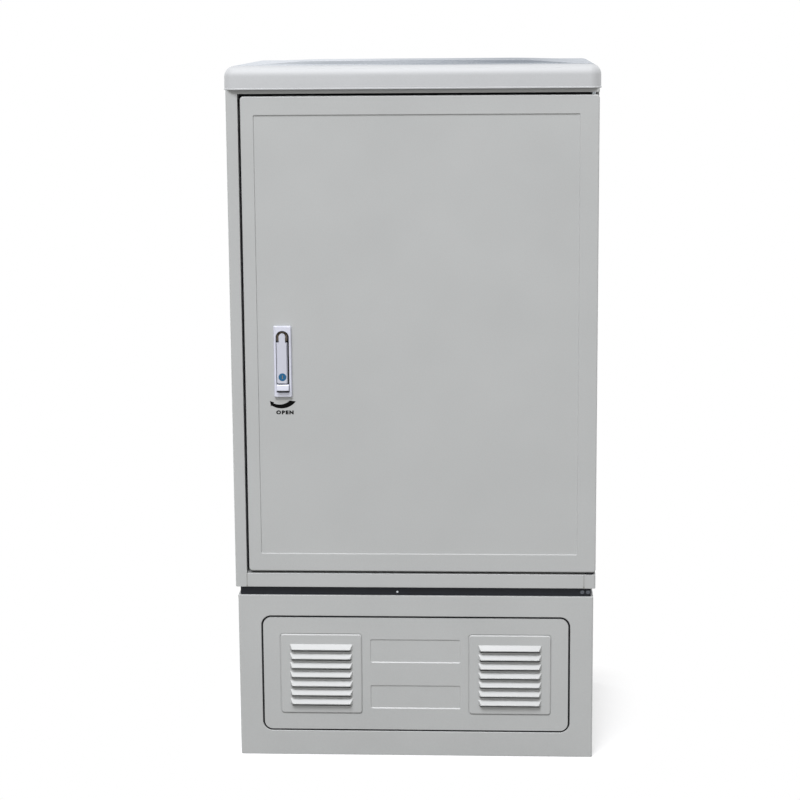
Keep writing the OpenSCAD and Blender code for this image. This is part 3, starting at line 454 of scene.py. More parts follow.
# %% Rounded copies of the visible solids
PANEL_EDGE, SHEET_EDGE, LOCK_EDGE, CORE_EDGE, LOUVRE_EDGE = 1.2, 0.8, 1.1, 0.5, 0.5
GRIP_FROM, HANDLE_PLAY = 9.3 * MM, 0.8 * MM
softened = {
    PANEL_EDGE: ["base_front_panel", "base_rear_panel", "base_left_panel", "base_right_panel"],
    SHEET_EDGE: ["left_side_panel", "right_side_panel", "rear_panel", "front_sill", "front_header",
                 "support_frame", "door_skin"],
    LOCK_EDGE: ["lock_escutcheon"],
    CORE_EDGE: ["lock_spindle", "key_core"],
}
for width, names in softened.items():
    for name in names:
        soften(name, width)
handle = soften("lock_handle", LOCK_EDGE, material=handle_silver_shaded_copy)
handle_low, handle_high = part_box("lock_handle")
handle_mid = (handle_low.x + handle_high.x) / 2
for v in handle.data.vertices:
    if abs(v.co.x - handle_mid) > GRIP_FROM:
        v.co.x -= HANDLE_PLAY
soften("release_button", LOCK_EDGE, outer_only=True)
soften("base_louvre_cover", LOUVRE_EDGE, segments=2, join_flats=False)

# %% [markdown]
# The hood is one deep pressing with a wide rounded shoulder and a slightly crowned top that leans to
# the front, so that rain runs off. Its section follows a rule: a bead at the lip, skirt, shoulder arc,
# gentle crown, and the same again inside at the thickness of the wall. Rings of points at each step of
# that section are lofted into one closed shell, which stays smoother than a bevelled copy would.

# %% Helpers for rings and lofts
CORNER_STEPS = 14


def rounded_ring(half_x, half_y, corner, z):
    points = []
    for quarter, (side_x, side_y) in enumerate([(1, 1), (-1, 1), (-1, -1), (1, -1)]):
        centre = Vector((side_x * (half_x - corner), side_y * (half_y - corner), z))
        for step in range(CORNER_STEPS + 1):
            turn = (quarter + step / CORNER_STEPS) * math.pi / 2
            points.append(centre + corner * Vector((math.cos(turn), math.sin(turn), 0)))
    return points


def closed_mesh(name, shape):
    """Turns every face of a closed shape outwards and makes a mesh of it."""
    bmesh.ops.recalc_face_normals(shape, faces=shape.faces)
    mesh = bpy.data.meshes.new(name)
    shape.to_mesh(mesh)
    shape.free()
    return mesh


def loft(name, rings, sharp_degrees):
    shape = bmesh.new()
    loops = [[shape.verts.new(point) for point in ring] for ring in rings]
    count = len(loops[0])
    for lower, upper in zip(loops, loops[1:]):
        for i in range(count):
            j = (i + 1) % count
            shape.faces.new((lower[i], lower[j], upper[j], upper[i]))
    shape.faces.new(loops[0])
    shape.faces.new(loops[-1])
    mesh = closed_mesh(name, shape)
    for face in mesh.polygons:
        face.use_smooth = True
    mesh.set_sharp_from_angle(angle=math.radians(sharp_degrees))
    return mesh


print("points in a ring:", len(rounded_ring(1, 1, MM, 0)))

# %% The crowned hood
HOOD_CORNER, LEAST_CORNER = 25 * MM, 3 * MM
HOOD_SHOULDER = 21 * MM
HOOD_WALL = 3.5 * MM
HOOD_FLARE = 1 * MM
BEAD_EDGE, BEAD_HEIGHT, BEAD_OUT = 0.6 * MM, 3.2 * MM, 0.8 * MM
CROWN_RISE, CROWN_RUN = 6 * MM, 170 * MM
FRONT_LEAN = 1.5 * MM
SHOULDER_STEPS, CROWN_STEPS = 12, 10
HOOD_SHARP_DEGREES = 38

hood_low, hood_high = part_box("hood")


def hood_section(wall):
    """Inset, height and lean of the section's points, from the skirt to the middle of the top."""
    top = hood_high.z - CROWN_RISE - wall
    shoulder = HOOD_SHOULDER - wall
    points = []
    for step in range(SHOULDER_STEPS + 1):
        turn = step / SHOULDER_STEPS * math.pi / 2
        inset = HOOD_FLARE + wall + shoulder * (1 - math.cos(turn))
        points.append((inset, top - shoulder * (1 - math.sin(turn)), 1.0))
    for step in range(1, CROWN_STEPS + 1):
        share = step / CROWN_STEPS
        rise = (1 - math.cos(share * math.pi)) / 2
        inset = HOOD_FLARE + HOOD_SHOULDER + CROWN_RUN * share
        points.append((inset, top + CROWN_RISE * rise, 1 - rise))
    return points


lip_z = hood_low.z
lip = [(BEAD_EDGE, lip_z, 0), (0.0, lip_z + BEAD_EDGE, 0), (0.0, lip_z + BEAD_HEIGHT - BEAD_EDGE, 0),
       (BEAD_OUT, lip_z + BEAD_HEIGHT, 0)]
inner_lip = [(HOOD_WALL, lip_z + BEAD_EDGE, 0), (HOOD_WALL - BEAD_EDGE, lip_z, 0)]
section = hood_section(HOOD_WALL)[::-1] + inner_lip + lip + hood_section(0.0)
hood_rings = []
for inset, z, lean in section:
    corner = max(HOOD_CORNER - inset, LEAST_CORNER)
    ring = rounded_ring(hood_high.x - inset, hood_high.y - inset, corner, z)
    hood_rings.append([p + Vector((0, 0, FRONT_LEAN * lean * p.y / hood_high.y)) for p in ring])
hood_mesh = loft("hood_shell", hood_rings, HOOD_SHARP_DEGREES)
hood = add_piece("hood_shell", hood_mesh, "cabinet", hood_compound)
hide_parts("hood")
print("hood rings:", len(hood_rings), "faces:", len(hood.data.polygons))

# %% [markdown]
# Under the lock the door carries a screen-printed sign that shows which way the handle turns: a curved
# arrow and the plain word OPEN. The arrow is a band between two arcs whose centres differ a little, so
# it widens towards its tail, with a three-cornered head. Both are very thin closed plates on the
# door's field, because a flat sheet in the same plane as the door would flicker.

# %% The printed turning sign
INK_FRONT, INK_SUNK = 0.15 * MM, 0.05 * MM
TIP_LEFT, TIP_DROP = 28.2 * MM, 8.3 * MM
OUTER_CENTRE, OUTER_RADIUS = Vector((22.9, 23.3)) * MM, 39.0 * MM
INNER_CENTRE, INNER_RADIUS = Vector((20.6, 22.7)) * MM, 29.9 * MM
OUTER_FROM, OUTER_TO = math.radians(239), math.radians(322)
INNER_FROM, INNER_TO = math.radians(245), math.radians(313)
BARB, NECK = 1.6 * MM, 0.8 * MM
ARROW_STEPS = 24

plate_low, plate_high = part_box("lock_escutcheon")
lock_x = (plate_low.x + plate_high.x) / 2
field_y = plate_high.y


def arc_point(centre, radius, turn):
    return centre + radius * Vector((math.cos(turn), math.sin(turn)))


def arrow_outline():
    """The arrow's outline with its tip at the origin."""
    outer, inner = [], []
    for step in range(ARROW_STEPS + 1):
        share = step / ARROW_STEPS
        neck = NECK * (1 - share) ** 3
        outer_turn = OUTER_FROM + (OUTER_TO - OUTER_FROM) * share
        inner_turn = INNER_FROM + (INNER_TO - INNER_FROM) * share
        outer.append(arc_point(OUTER_CENTRE, OUTER_RADIUS - neck, outer_turn))
        inner.append(arc_point(INNER_CENTRE, INNER_RADIUS + neck, inner_turn))
    lower_barb = arc_point(OUTER_CENTRE, OUTER_RADIUS + BARB, OUTER_FROM)
    upper_barb = arc_point(INNER_CENTRE, INNER_RADIUS - BARB, INNER_FROM)
    return [Vector((0, 0)), lower_barb] + outer + inner[::-1] + [upper_barb]


def upright_plate(name, outline, centre, depth, body, material):
    """A closed plate with the outline's shape. It faces the front and goes depth back from its centre."""
    shape = bmesh.new()
    face = shape.faces.new([shape.verts.new(centre + Vector((x, 0, z))) for x, z in outline])
    made = bmesh.ops.extrude_face_region(shape, geom=[face])
    moved = [v for v in made["geom"] if isinstance(v, bmesh.types.BMVert)]
    bmesh.ops.translate(shape, verts=moved, vec=(0, depth, 0))
    return add_piece(name, closed_mesh(name, shape), body, material)


arrow_tip = Vector((lock_x - TIP_LEFT, field_y - INK_FRONT, plate_low.z - TIP_DROP))
arrow = upright_plate("turn_arrow", arrow_outline(), arrow_tip, INK_FRONT + INK_SUNK, "door", print_ink)
print("arrow sides:", len(arrow.data.polygons))

# %% [markdown]
# Letters come from a text object. It is turned into a mesh first, then scaled to the measured width
# and height of the word, stood upright and put in place, all in its vertices, so the finished object
# itself stays at the origin like every CAD solid.

# %% The printed word
WORD_W, WORD_H = 36 * MM, 8.2 * MM
WORD_RIGHT, WORD_DROP = 2.4 * MM, 28.1 * MM
WORD_BOLD, WORD_THICK, WORD_SPACING = 0.064, 0.1, 1.3


def plain_mesh(source):
    """The mesh that an object's text or modifiers end in. The object itself is then taken away."""
    bpy.context.view_layer.update()
    finished = source.evaluated_get(bpy.context.evaluated_depsgraph_get())
    mesh = bpy.data.meshes.new_from_object(finished)
    bpy.data.objects.remove(source)
    return mesh


word_curve = bpy.data.curves.new("open_word", "FONT")
word_curve.body = "OPEN"
word_curve.offset = WORD_BOLD
word_curve.extrude = WORD_THICK
word_curve.space_character = WORD_SPACING
word_mesh = plain_mesh(new_object("open_word_source", word_curve))
xs = [v.co.x for v in word_mesh.vertices]
ys = [v.co.y for v in word_mesh.vertices]
word_z = plate_low.z - WORD_DROP - WORD_H
for v in word_mesh.vertices:
    across = (v.co.x - min(xs)) / (max(xs) - min(xs)) - 0.5
    up = (v.co.y - min(ys)) / (max(ys) - min(ys))
    deep = -INK_FRONT if v.co.z > 0 else INK_SUNK
    v.co = (lock_x + WORD_RIGHT + across * WORD_W, field_y + deep, word_z + up * WORD_H)
word = add_piece("open_word", word_mesh, "door", print_ink)
print("letter faces:", len(word.data.polygons))

# %% [markdown]
# A key goes into the small upright slot of the blue core. The bright thing at the bottom of that slot
# is the brass key way, which has the stepped outline that lets only its own key pass. It is a plate
# with that outline, made by the same function as the arrow, and it turns with the core.

# %% Brass key way in the core
KEY_WAY_NEAR, KEY_WAY_FAR = 0.5 * MM, 1.95 * MM
KEY_WAY_OUTLINE_MM = [(-0.75, -3.4), (0.75, -3.4), (0.75, -1.3), (0.3, -0.9), (0.3, 0.7), (0.75, 1.1),
                      (0.75, 3.4), (-0.75, 3.4), (-0.75, 1.8), (-0.3, 1.4), (-0.3, -0.3), (-0.75, -0.7)]
core_low, core_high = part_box("key_core")
way_centre = Vector((lock_x, core_low.y + KEY_WAY_NEAR, (core_low.z + core_high.z) / 2))
way_outline = [(x * MM, z * MM) for x, z in KEY_WAY_OUTLINE_MM]
key_way = upright_plate("key_way", way_outline, way_centre, KEY_WAY_FAR - KEY_WAY_NEAR, "key_core", key_brass)
print("key way sides:", len(key_way.data.polygons))

# %% [markdown]
# The sill meets the corner posts in two butt joints under the door. Each joint is sealed with a thin
# bead, and where the bead ends it bulges a little over the edge. A narrow outline with a wider foot
# gives that line, again as an upright plate.

# %% Sealed joints in the sill
SEAM_HALF, SEAM_FOOT = 0.5 * MM, 1.3 * MM
SEAM_WIDE_TO, SEAM_THIN_FROM = 2 * SEAM_FOOT, 4 * SEAM_FOOT
SEAM_PROUD, SEAM_SUNK = 0.3 * MM, 0.4 * MM
sill_low, sill_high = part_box("front_sill")
sill_tall = sill_high.z - sill_low.z
seam_outline = [(-SEAM_FOOT, 0), (SEAM_FOOT, 0), (SEAM_FOOT, SEAM_WIDE_TO), (SEAM_HALF, SEAM_THIN_FROM),
                (SEAM_HALF, sill_tall), (-SEAM_HALF, sill_tall), (-SEAM_HALF, SEAM_THIN_FROM),
                (-SEAM_FOOT, SEAM_WIDE_TO)]
seam_deep = SEAM_PROUD + SEAM_SUNK
for side, joint_x in (("left", sill_low.x), ("right", sill_high.x)):
    seam_foot = Vector((joint_x, sill_low.y - SEAM_PROUD, sill_low.z))
    upright_plate("sill_seam_" + side, seam_outline, seam_foot, seam_deep, "cabinet", joint_sealant)
    print("seam on the", side, "at x in mm:", round(joint_x / MM, 1))

# %% [markdown]
# Screws repeat all over such a cabinet, so one Geometry Nodes tree makes them all. It stands a washer
# and a head with a six-sided socket on every point it gets, turns them to face the right way and ends
# as one plain mesh. Radii, heights and the direction are named inputs, set for each group of screws.

# %% Helpers that build a tree and run it
def open_tree(name, sockets):
    tree = bpy.data.node_groups.new(name, "GeometryNodeTree")
    tree.interface.new_socket("Geometry", in_out="OUTPUT", socket_type="NodeSocketGeometry")
    for label, kind in sockets.items():
        tree.interface.new_socket(label, in_out="INPUT", socket_type="NodeSocket" + kind)
    return tree, add_node(tree, "NodeGroupInput").outputs


def close_tree(tree, inputs, shape):
    turn = add_node(tree, "FunctionNodeEulerToRotation", {"Euler": inputs["Facing"]})
    placed = add_node(tree, "GeometryNodeInstanceOnPoints",
                      {"Points": inputs["Seats"], "Instance": shape, "Rotation": turn})
    real = add_node(tree, "GeometryNodeRealizeInstances", {"Geometry": placed})
    done = add_node(tree, "GeometryNodeSetMaterial", {"Geometry": real, "Material": inputs["Material"]})
    add_node(tree, "NodeGroupOutput", {"Geometry": done})
    print(tree.name, "has", len(tree.nodes), "nodes")


def realise(name, tree, seats, values, body):
    """Runs a node tree on the seats and keeps the result as a plain mesh that rides on a body."""
    points = bpy.data.meshes.new(name + "_seats")
    points.from_pydata(seats, [], [])
    holder = new_object(name + "_seats", points)
    repeat = holder.modifiers.new("repeat", "NODES")
    repeat.node_group = tree
    for item in tree.interface.items_tree:
        if item.in_out == "INPUT" and item.name in values:
            repeat[item.identifier] = values[item.name]
    return add_piece(name, plain_mesh(holder), body)


print("node trees so far:", len(bpy.data.node_groups))

# %% A tree that sets screws on points
SOCKET_SHARE, SOCKET_DEEP = 0.55, 0.6
HEAD_SIDES, SOCKET_SIDES = 24, 6
screws, given = open_tree("screws_on_points", {
    "Seats": "Geometry", "Facing": "Vector", "Head radius": "Float", "Head height": "Float",
    "Washer radius": "Float", "Washer height": "Float", "Material": "Material"})
half_head = add_node(screws, "ShaderNodeMath", {0: given["Head height"], 1: 0.5}, operation="MULTIPLY")
washer_up = add_node(screws, "ShaderNodeMath", {0: given["Washer height"], 1: 0.5}, operation="MULTIPLY")
head_up = add_node(screws, "ShaderNodeMath", {0: half_head, 1: given["Washer height"]}, operation="ADD")
socket_up = add_node(screws, "ShaderNodeMath", {0: given["Head height"], 1: SOCKET_DEEP, 2: head_up},
                     operation="MULTIPLY_ADD")
socket_r = add_node(screws, "ShaderNodeMath", {0: given["Head radius"], 1: SOCKET_SHARE},
                    operation="MULTIPLY")
drums = []
for sides, radius, height, up in (
        (HEAD_SIDES, given["Head radius"], given["Head height"], head_up),
        (SOCKET_SIDES, socket_r, given["Head height"], socket_up),
        (HEAD_SIDES, given["Washer radius"], given["Washer height"], washer_up)):
    drum = add_node(screws, "GeometryNodeMeshCylinder",
                    {"Vertices": sides, "Radius": radius, "Depth": height})
    at = add_node(screws, "ShaderNodeCombineXYZ", {"Z": up})
    drums.append(add_node(screws, "GeometryNodeTransform", {"Geometry": drum, "Translation": at}))
head, hole, washer = drums
drilled = add_node(screws, "GeometryNodeMeshBoolean", {"Mesh 1": head, "Mesh 2": hole},
                   operation="DIFFERENCE")
whole = add_node(screws, "GeometryNodeJoinGeometry", {"Geometry": drilled})
screws.links.new(washer.outputs[0], whole.inputs[0])
close_tree(screws, given, whole)

# %% [markdown]
# Each group of screws sits on one face of one solid. Its seats are worked out from that solid's box,
# so they follow the CAD when a size changes: from both ends by an inset, or in even steps between two
# places. Screws on the door ride on the door, so they swing out with it.

# %% Screws on the frame strip
TO_FRONT, TO_REAR, TO_TOP = (math.radians(90), 0, 0), (math.radians(-90), 0, 0), (0, 0, 0)
SINK = 0.1 * MM


def screw_size(head_radius, head_height, washer_radius, washer_height):
    return {"Head radius": head_radius * MM, "Head height": head_height * MM,
            "Washer radius": washer_radius * MM, "Washer height": washer_height * MM}


def screw_group(name, seats, facing, size, body="cabinet", material=bolt_steel):
    made = realise(name, screws, seats, {**size, "Facing": facing, "Material": material}, body)
    print(name, len(seats), "screws,", len(made.data.polygons), "faces")


def seat_grid(xs, ys, zs):
    return [(x, y, z) for x in xs for y in ys for z in zs]


def ends(low, high, inset):
    return low + inset, high - inset


def between(low, high, count):
    return [low + (high - low) * i / (count - 1) for i in range(count)]


SMALL_SCREW = screw_size(1.8, 1.4, 2.2, 0.4)
HOUSING_SCREW = screw_size(3, 2.6, 3.8, 0.8)
STRIP_BOLT = screw_size(3.4, 2.6, 4.4, 0.8)
M5 = screw_size(4.2, 2.6, 5.6, 0.8)
M8 = screw_size(6.5, 4.5, 8.5, 1.2)
STRIP_SCREW_X, STRIP_SCREW_DROP = -37 * MM, 2 * MM
STRIP_BOLTS_IN = (18 * MM, 6 * MM)
REAR_BOLTS, REAR_REACH = 5, 300 * MM

strip_low, strip_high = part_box("support_frame")
strip_z = (strip_low.z + strip_high.z) / 2
strip_face, strip_back = [strip_low.y + SINK], [strip_high.y - SINK]
screw_group("strip_screw", seat_grid([STRIP_SCREW_X], strip_face, [strip_z - STRIP_SCREW_DROP]),
            TO_FRONT, SMALL_SCREW)
bolt_xs = [strip_high.x - inset for inset in STRIP_BOLTS_IN]
screw_group("strip_bolts", seat_grid(bolt_xs, strip_face, [strip_z]), TO_FRONT, STRIP_BOLT,
            material=dull_steel)
rear_xs = between(-REAR_REACH, REAR_REACH, REAR_BOLTS)
screw_group("strip_rear_bolts", seat_grid(rear_xs, strip_back, [strip_z]), TO_REAR, M5)

# %% Screws inside the cabinet
UNITS = range(1, 5)
PLATE_ROWS, SPOOLS, EARTH_BOLTS, GLAND_ROW = 4, 5, 7, 6
UNIT_EAR = 22 * MM
PLATE_SIDE, PLATE_END = 16 * MM, 30 * MM
BAR_END = 20 * MM
EARTH_DROP = 12.5 * MM
GLAND_FRONT, GLAND_REAR = 30 * MM, 20 * MM

upright_seats = []
for side in ("left", "right"):
    low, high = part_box("mounting_upright_" + side)
    for unit in UNITS:
        unit_low, unit_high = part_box(f"distribution_unit_{unit}")
        ear_zs = ends(unit_low.z, unit_high.z, UNIT_EAR)
        upright_seats += seat_grid([(low.x + high.x) / 2], [low.y + SINK], ear_zs)
screw_group("upright_screws", upright_seats, TO_FRONT, M5)

low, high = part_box("spool_plate")
plate_zs = between(*ends(low.z, high.z, PLATE_END), PLATE_ROWS)
screw_group("spool_plate_screws",
            seat_grid(ends(low.x, high.x, PLATE_SIDE), [low.y + SINK], plate_zs), TO_FRONT, M5)
low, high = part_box("fibre_spools")
spool_r = (high.x - low.x) / 2
spool_zs = between(*ends(low.z, high.z, spool_r), SPOOLS)
screw_group("spool_screws", seat_grid([low.x + spool_r], [low.y + SINK], spool_zs), TO_FRONT, M8)
low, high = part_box("cable_clamp_bar")
screw_group("clamp_bar_bolts",
            seat_grid(ends(low.x, high.x, BAR_END), [low.y + SINK], [(low.z + high.z) / 2]), TO_FRONT, M8)
low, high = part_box("earth_bar")
earth_xs = between(*ends(low.x, high.x, BAR_END), EARTH_BOLTS)
screw_group("earth_bolts", seat_grid(earth_xs, [low.y + SINK], [high.z - EARTH_DROP]), TO_FRONT, M8)
low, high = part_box("gland_plate")
gland_xs = between(*ends(low.x, high.x, BAR_END), GLAND_ROW)
gland_ys = (low.y + GLAND_FRONT, high.y - GLAND_REAR)
screw_group("gland_screws", seat_grid(gland_xs, gland_ys, [high.z - SINK]), TO_TOP, M5)

# %% Screws behind the door
RING_SIDE, RING_END, RING_ROWS = 25 * MM, 60 * MM, 7
HOUSING_SIDE, HOUSING_END = 6 * MM, 8 * MM

low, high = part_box("door_inner_frame")
ring_zs = between(*ends(low.z, high.z, RING_END), RING_ROWS)
screw_group("door_ring_screws", seat_grid(ends(low.x, high.x, RING_SIDE), [high.y - SINK], ring_zs),
            TO_REAR, M5, "door")
low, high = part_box("lock_housing")
housing_zs = ends(low.z, high.z, HOUSING_END)
screw_group("housing_screws", seat_grid(ends(low.x, high.x, HOUSING_SIDE), [high.y - SINK], housing_zs),
            TO_REAR, HOUSING_SCREW, "door")

# %% [markdown]
# The louvred cover lies in its opening on a strip of black sponge rubber, which keeps it from rattling.
# The strip lies deep in the gap between the cover and the panel and fills its width, so it also
# paints the gap's shade as the dark line all round the cover. A strip follows a path, so a second tree
# sweeps it: the path is a rectangle with rounded corners, and Curve to Mesh carries the strip's own
# section along it.

# %% Rubber strip round the louvred cover, painting the gap's shade
STRIP_DEPTH = 1.5 * MM
STRIP_INSIDE, STRIP_OUTSIDE = 0.1 * MM, 3.9 * MM
COVER_CORNER, COVER_SHEET = 17 * MM, 5 * MM

strips, given = open_tree("strip_on_a_path", {
    "Seats": "Geometry", "Facing": "Vector", "Length": "Float", "Height": "Float", "Corner": "Float",
    "Band": "Float", "Depth": "Float", "Material": "Material"})
square_path = add_node(strips, "GeometryNodeCurvePrimitiveQuadrilateral",
                       {"Width": given["Length"], "Height": given["Height"]})
path = add_node(strips, "GeometryNodeFilletCurve",
                {"Curve": square_path, "Radius": given["Corner"], "Count": CORNER_STEPS}, mode="POLY")
profile = add_node(strips, "GeometryNodeCurvePrimitiveQuadrilateral",
                   {"Width": given["Band"], "Height": given["Depth"]})
band = add_node(strips, "GeometryNodeCurveToMesh", {"Curve": path, "Profile Curve": profile})
close_tree(strips, given, band)

base_low, base_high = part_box("base_front_panel")
cover_low, cover_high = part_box("base_louvre_cover")
cover_mid = (cover_low + cover_high) / 2
strip_grow = (STRIP_INSIDE + STRIP_OUTSIDE) / 2
strip_seat = (cover_mid.x, base_low.y + COVER_SHEET - STRIP_DEPTH / 2, cover_mid.z)
strip_sizes = {
    "Length": cover_high.x - cover_low.x + 2 * strip_grow,
    "Height": cover_high.z - cover_low.z + 2 * strip_grow,
    "Corner": COVER_CORNER + strip_grow, "Band": STRIP_OUTSIDE - STRIP_INSIDE, "Depth": STRIP_DEPTH,
}
# The black strip fills the gap and paints its shade as a dark line round the cover.
gap_shade_strip = realise("cover_shade_strip", strips, [strip_seat],
                    {**strip_sizes, "Facing": TO_FRONT, "Material": black_rubber}, "cabinet")
print("rubber strip faces:", len(gap_shade_strip.data.polygons))

# %% [markdown]
# The front of every splice tray carries a row of connector adapters with white dust caps, twelve to a
# tray. Two small trees make them: one sets a flange and a body, the other a tapered cap with a rim in
# front of it. The seats are shared, so the caps sit exactly on their adapters.

# %% Trees for adapters and dust caps
FLANGE_SHARES = (1.75, 1.15, 0.16)
HALF_DEPTH = (0, 0, 0.5)
RIM_SHARE, STEM_SHARE, TIP_SHARE = 0.4, 0.8, 0.62
CAP_SIDES = 12

adapters, given = open_tree("adapters_on_points", {
    "Seats": "Geometry", "Facing": "Vector", "Width": "Float", "Height": "Float", "Depth": "Float",
    "Material": "Material"})
body_size = add_node(adapters, "ShaderNodeCombineXYZ",
                     {"X": given["Width"], "Y": given["Height"], "Z": given["Depth"]})
flange_size = add_node(adapters, "ShaderNodeVectorMath", {0: body_size, 1: FLANGE_SHARES},
                       operation="MULTIPLY")
blocks = []
for size in (body_size, flange_size):
    up = add_node(adapters, "ShaderNodeVectorMath", {0: size, 1: HALF_DEPTH}, operation="MULTIPLY")
    block = add_node(adapters, "GeometryNodeMeshCube", {"Size": size})
    blocks.append(add_node(adapters, "GeometryNodeTransform", {"Geometry": block, "Translation": up}))
port, flange = blocks
adapter = add_node(adapters, "GeometryNodeJoinGeometry", {"Geometry": port})
adapters.links.new(flange.outputs[0], adapter.inputs[0])
close_tree(adapters, given, adapter)

caps, given = open_tree("caps_on_points", {
    "Seats": "Geometry", "Facing": "Vector", "Radius": "Float", "Length": "Float", "Material": "Material"})
rim_long, stem_wide, stem_narrow = [
    add_node(caps, "ShaderNodeMath", {0: given[label], 1: share}, operation="MULTIPLY")
    for label, share in (("Length", RIM_SHARE), ("Radius", STEM_SHARE), ("Radius", TIP_SHARE))]
rim, stem = [
    add_node(caps, "GeometryNodeMeshCone",
             {"Vertices": CAP_SIDES, "Radius Bottom": wide, "Radius Top": narrow, "Depth": length})
    for wide, narrow, length in ((given["Radius"], given["Radius"], rim_long),
                                 (stem_wide, stem_narrow, given["Length"]))]
cap = add_node(caps, "GeometryNodeJoinGeometry", {"Geometry": rim})
caps.links.new(stem.outputs[0], cap.inputs[0])
close_tree(caps, given, cap)

# %% Adapters and dust caps on the trays
TRAYS, PORTS = 6, 12
TRAY_GAP = 4 * MM
PORT_MARGIN, PORT_DROP = 24 * MM, 1 * MM
ADAPTER_WIDE, ADAPTER_TALL, ADAPTER_DEEP = 12.5 * MM, 9.5 * MM, 12 * MM
CAP_RADIUS, CAP_DEEP = 3.4 * MM, 6.5 * MM

port_seats = []
for unit in UNITS:
    low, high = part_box(f"tray_stack_{unit}")
    pitch = (high.z - low.z + TRAY_GAP) / TRAYS
    port_xs = between(*ends(low.x, high.x, PORT_MARGIN), PORTS)
    for row in range(TRAYS):
        z = low.z + row * pitch + (pitch - TRAY_GAP) / 2 - PORT_DROP
        port_seats += seat_grid(port_xs, [low.y + SINK], [z])
realise("connector_adapters", adapters, port_seats,
        {"Facing": TO_FRONT, "Width": ADAPTER_WIDE, "Height": ADAPTER_TALL, "Depth": ADAPTER_DEEP,
         "Material": connector_blue}, "cabinet")
cap_seats = [(x, y - ADAPTER_DEEP + SINK, z) for x, y, z in port_seats]
realise("dust_caps", caps, cap_seats,
        {"Facing": TO_FRONT, "Radius": CAP_RADIUS, "Length": CAP_DEEP, "Material": cap_plastic}, "cabinet")
print("adapters:", len(port_seats))

# %% [markdown]
# The floor and the backdrop look white to the camera, but the light that the floor throws back is kept
# low and warm, so that the underside of every lip stays dark. Close to the plinth the floor's own
# shading shows through the white, which keeps the cabinet's shadow there.

# %% Floor
FLOOR_HALF = 30.0
FLOOR_SEEN, FLOOR_BOUNCE = "#f4f4f4", "#8a8987"
FLOOR_ROUGHNESS = 0.9
FADE_WIDTH, WHITE_AT_FOOT = 0.12, 0.35


def stage_sheet(name, corners, material):
    mesh = bpy.data.meshes.new(name)
    mesh.from_pydata(corners, [], [(0, 1, 2, 3)])
    mesh.materials.append(material)
    sheet = new_object(name, mesh)
    sheet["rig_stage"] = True
    return sheet


floor_material, floor_tree, floor_shader, floor_place = start_finish("floor_pale")
floor_path = add_node(floor_tree, "ShaderNodeLightPath")
floor_tone = add_node(floor_tree, "ShaderNodeMix",
                      {0: floor_path.outputs["Is Diffuse Ray"], MIX_A: linear(FLOOR_SEEN),
                       MIX_B: linear(FLOOR_BOUNCE)}, data_type="RGBA")
floor_tree.links.new(floor_tone.outputs[MIX_OUT], floor_shader.inputs["Base Color"])
floor_shader.inputs["Roughness"].default_value = FLOOR_ROUGHNESS
floor_shader.inputs["Specular IOR Level"].default_value = 0.0
foot = (base_high.x, -base_low.y, 0)
folded = add_node(floor_tree, "ShaderNodeVectorMath", {0: floor_place}, operation="ABSOLUTE")
beyond = add_node(floor_tree, "ShaderNodeVectorMath", {0: folded, 1: foot}, operation="SUBTRACT")
outside = add_node(floor_tree, "ShaderNodeVectorMath", {0: beyond, 1: (0, 0, 0)}, operation="MAXIMUM")
distance = add_node(floor_tree, "ShaderNodeVectorMath", {0: outside}, operation="LENGTH")
fade = add_node(floor_tree, "ShaderNodeMapRange",
                {"Value": distance.outputs["Value"], "From Max": FADE_WIDTH, "To Min": WHITE_AT_FOOT})
shown = add_node(floor_tree, "ShaderNodeMath", {0: fade, 1: floor_path.outputs["Is Camera Ray"]},
                 operation="MULTIPLY")
white = add_node(floor_tree, "ShaderNodeEmission", {"Color": WHITE, "Strength": 1.0})
mixed = add_node(floor_tree, "ShaderNodeMixShader", {0: shown, 1: floor_shader, 2: white})
floor_tree.links.new(mixed.outputs[0], floor_tree.nodes["Material Output"].inputs["Surface"])
stage_sheet("floor", [(-FLOOR_HALF, -FLOOR_HALF, 0), (FLOOR_HALF, -FLOOR_HALF, 0),
                      (FLOOR_HALF, FLOOR_HALF, 0), (-FLOOR_HALF, FLOOR_HALF, 0)], floor_material)
print("floor half width in m:", FLOOR_HALF)

# %% Backdrop and fill
FILL, FILL_TONE = 0.52, "#fffefc"

world = bpy.data.worlds.new("studio")
bpy.context.scene.world = world
world.use_nodes = True
studio = world.node_tree
studio_path = add_node(studio, "ShaderNodeLightPath").outputs
fill = studio.nodes["Background"]
fill.inputs["Color"].default_value = linear(FILL_TONE)
fill.inputs["Strength"].default_value = FILL
backdrop = add_node(studio, "ShaderNodeBackground", {"Color": WHITE, "Strength": 1.0})
seen = add_node(studio, "ShaderNodeMath",
                {0: studio_path["Is Camera Ray"], 1: studio_path["Is Glossy Ray"]}, operation="MAXIMUM")
surround = add_node(studio, "ShaderNodeMixShader", {0: seen, 1: fill, 2: backdrop})
studio.links.new(surround.outputs[0], studio.nodes["World Output"].inputs["Surface"])
print("fill:", FILL)

# %% [markdown]
# The camera sees the hood's top at less than a degree, where it acts as a mirror. A grey card stands
# behind the cabinet for it, as photographers do, with faint level bands like far trees and cloud. It
# is darker to the right and upwards, and fades to white at its edges, so that no hard line of it shows
# up in other views. Only reflections see it.

# %% Grey card
CARD_Y, CARD_HALF = 3.2, 1.6
CARD_LOW, CARD_TOP, FADE_FROM = 0.8, 4.0, 2.4
CARD_DARK, CARD_LIGHT = "#68727e", "#f0f4fa"
LIGHT_BELOW, DARK_ABOVE, LOW_LIGHT = 1.45, 2.1, 0.5
LIGHT_LEFT, DARK_RIGHT, LEFT_LIGHT = -0.8, 0.2, 0.6
BAND_LONG, BAND_TALL = 0.7, 0.09
BAND_FROM, BAND_TO, BAND_DARKEN, BAND_LIGHTEN = 0.35, 0.65, -0.3, 0.4

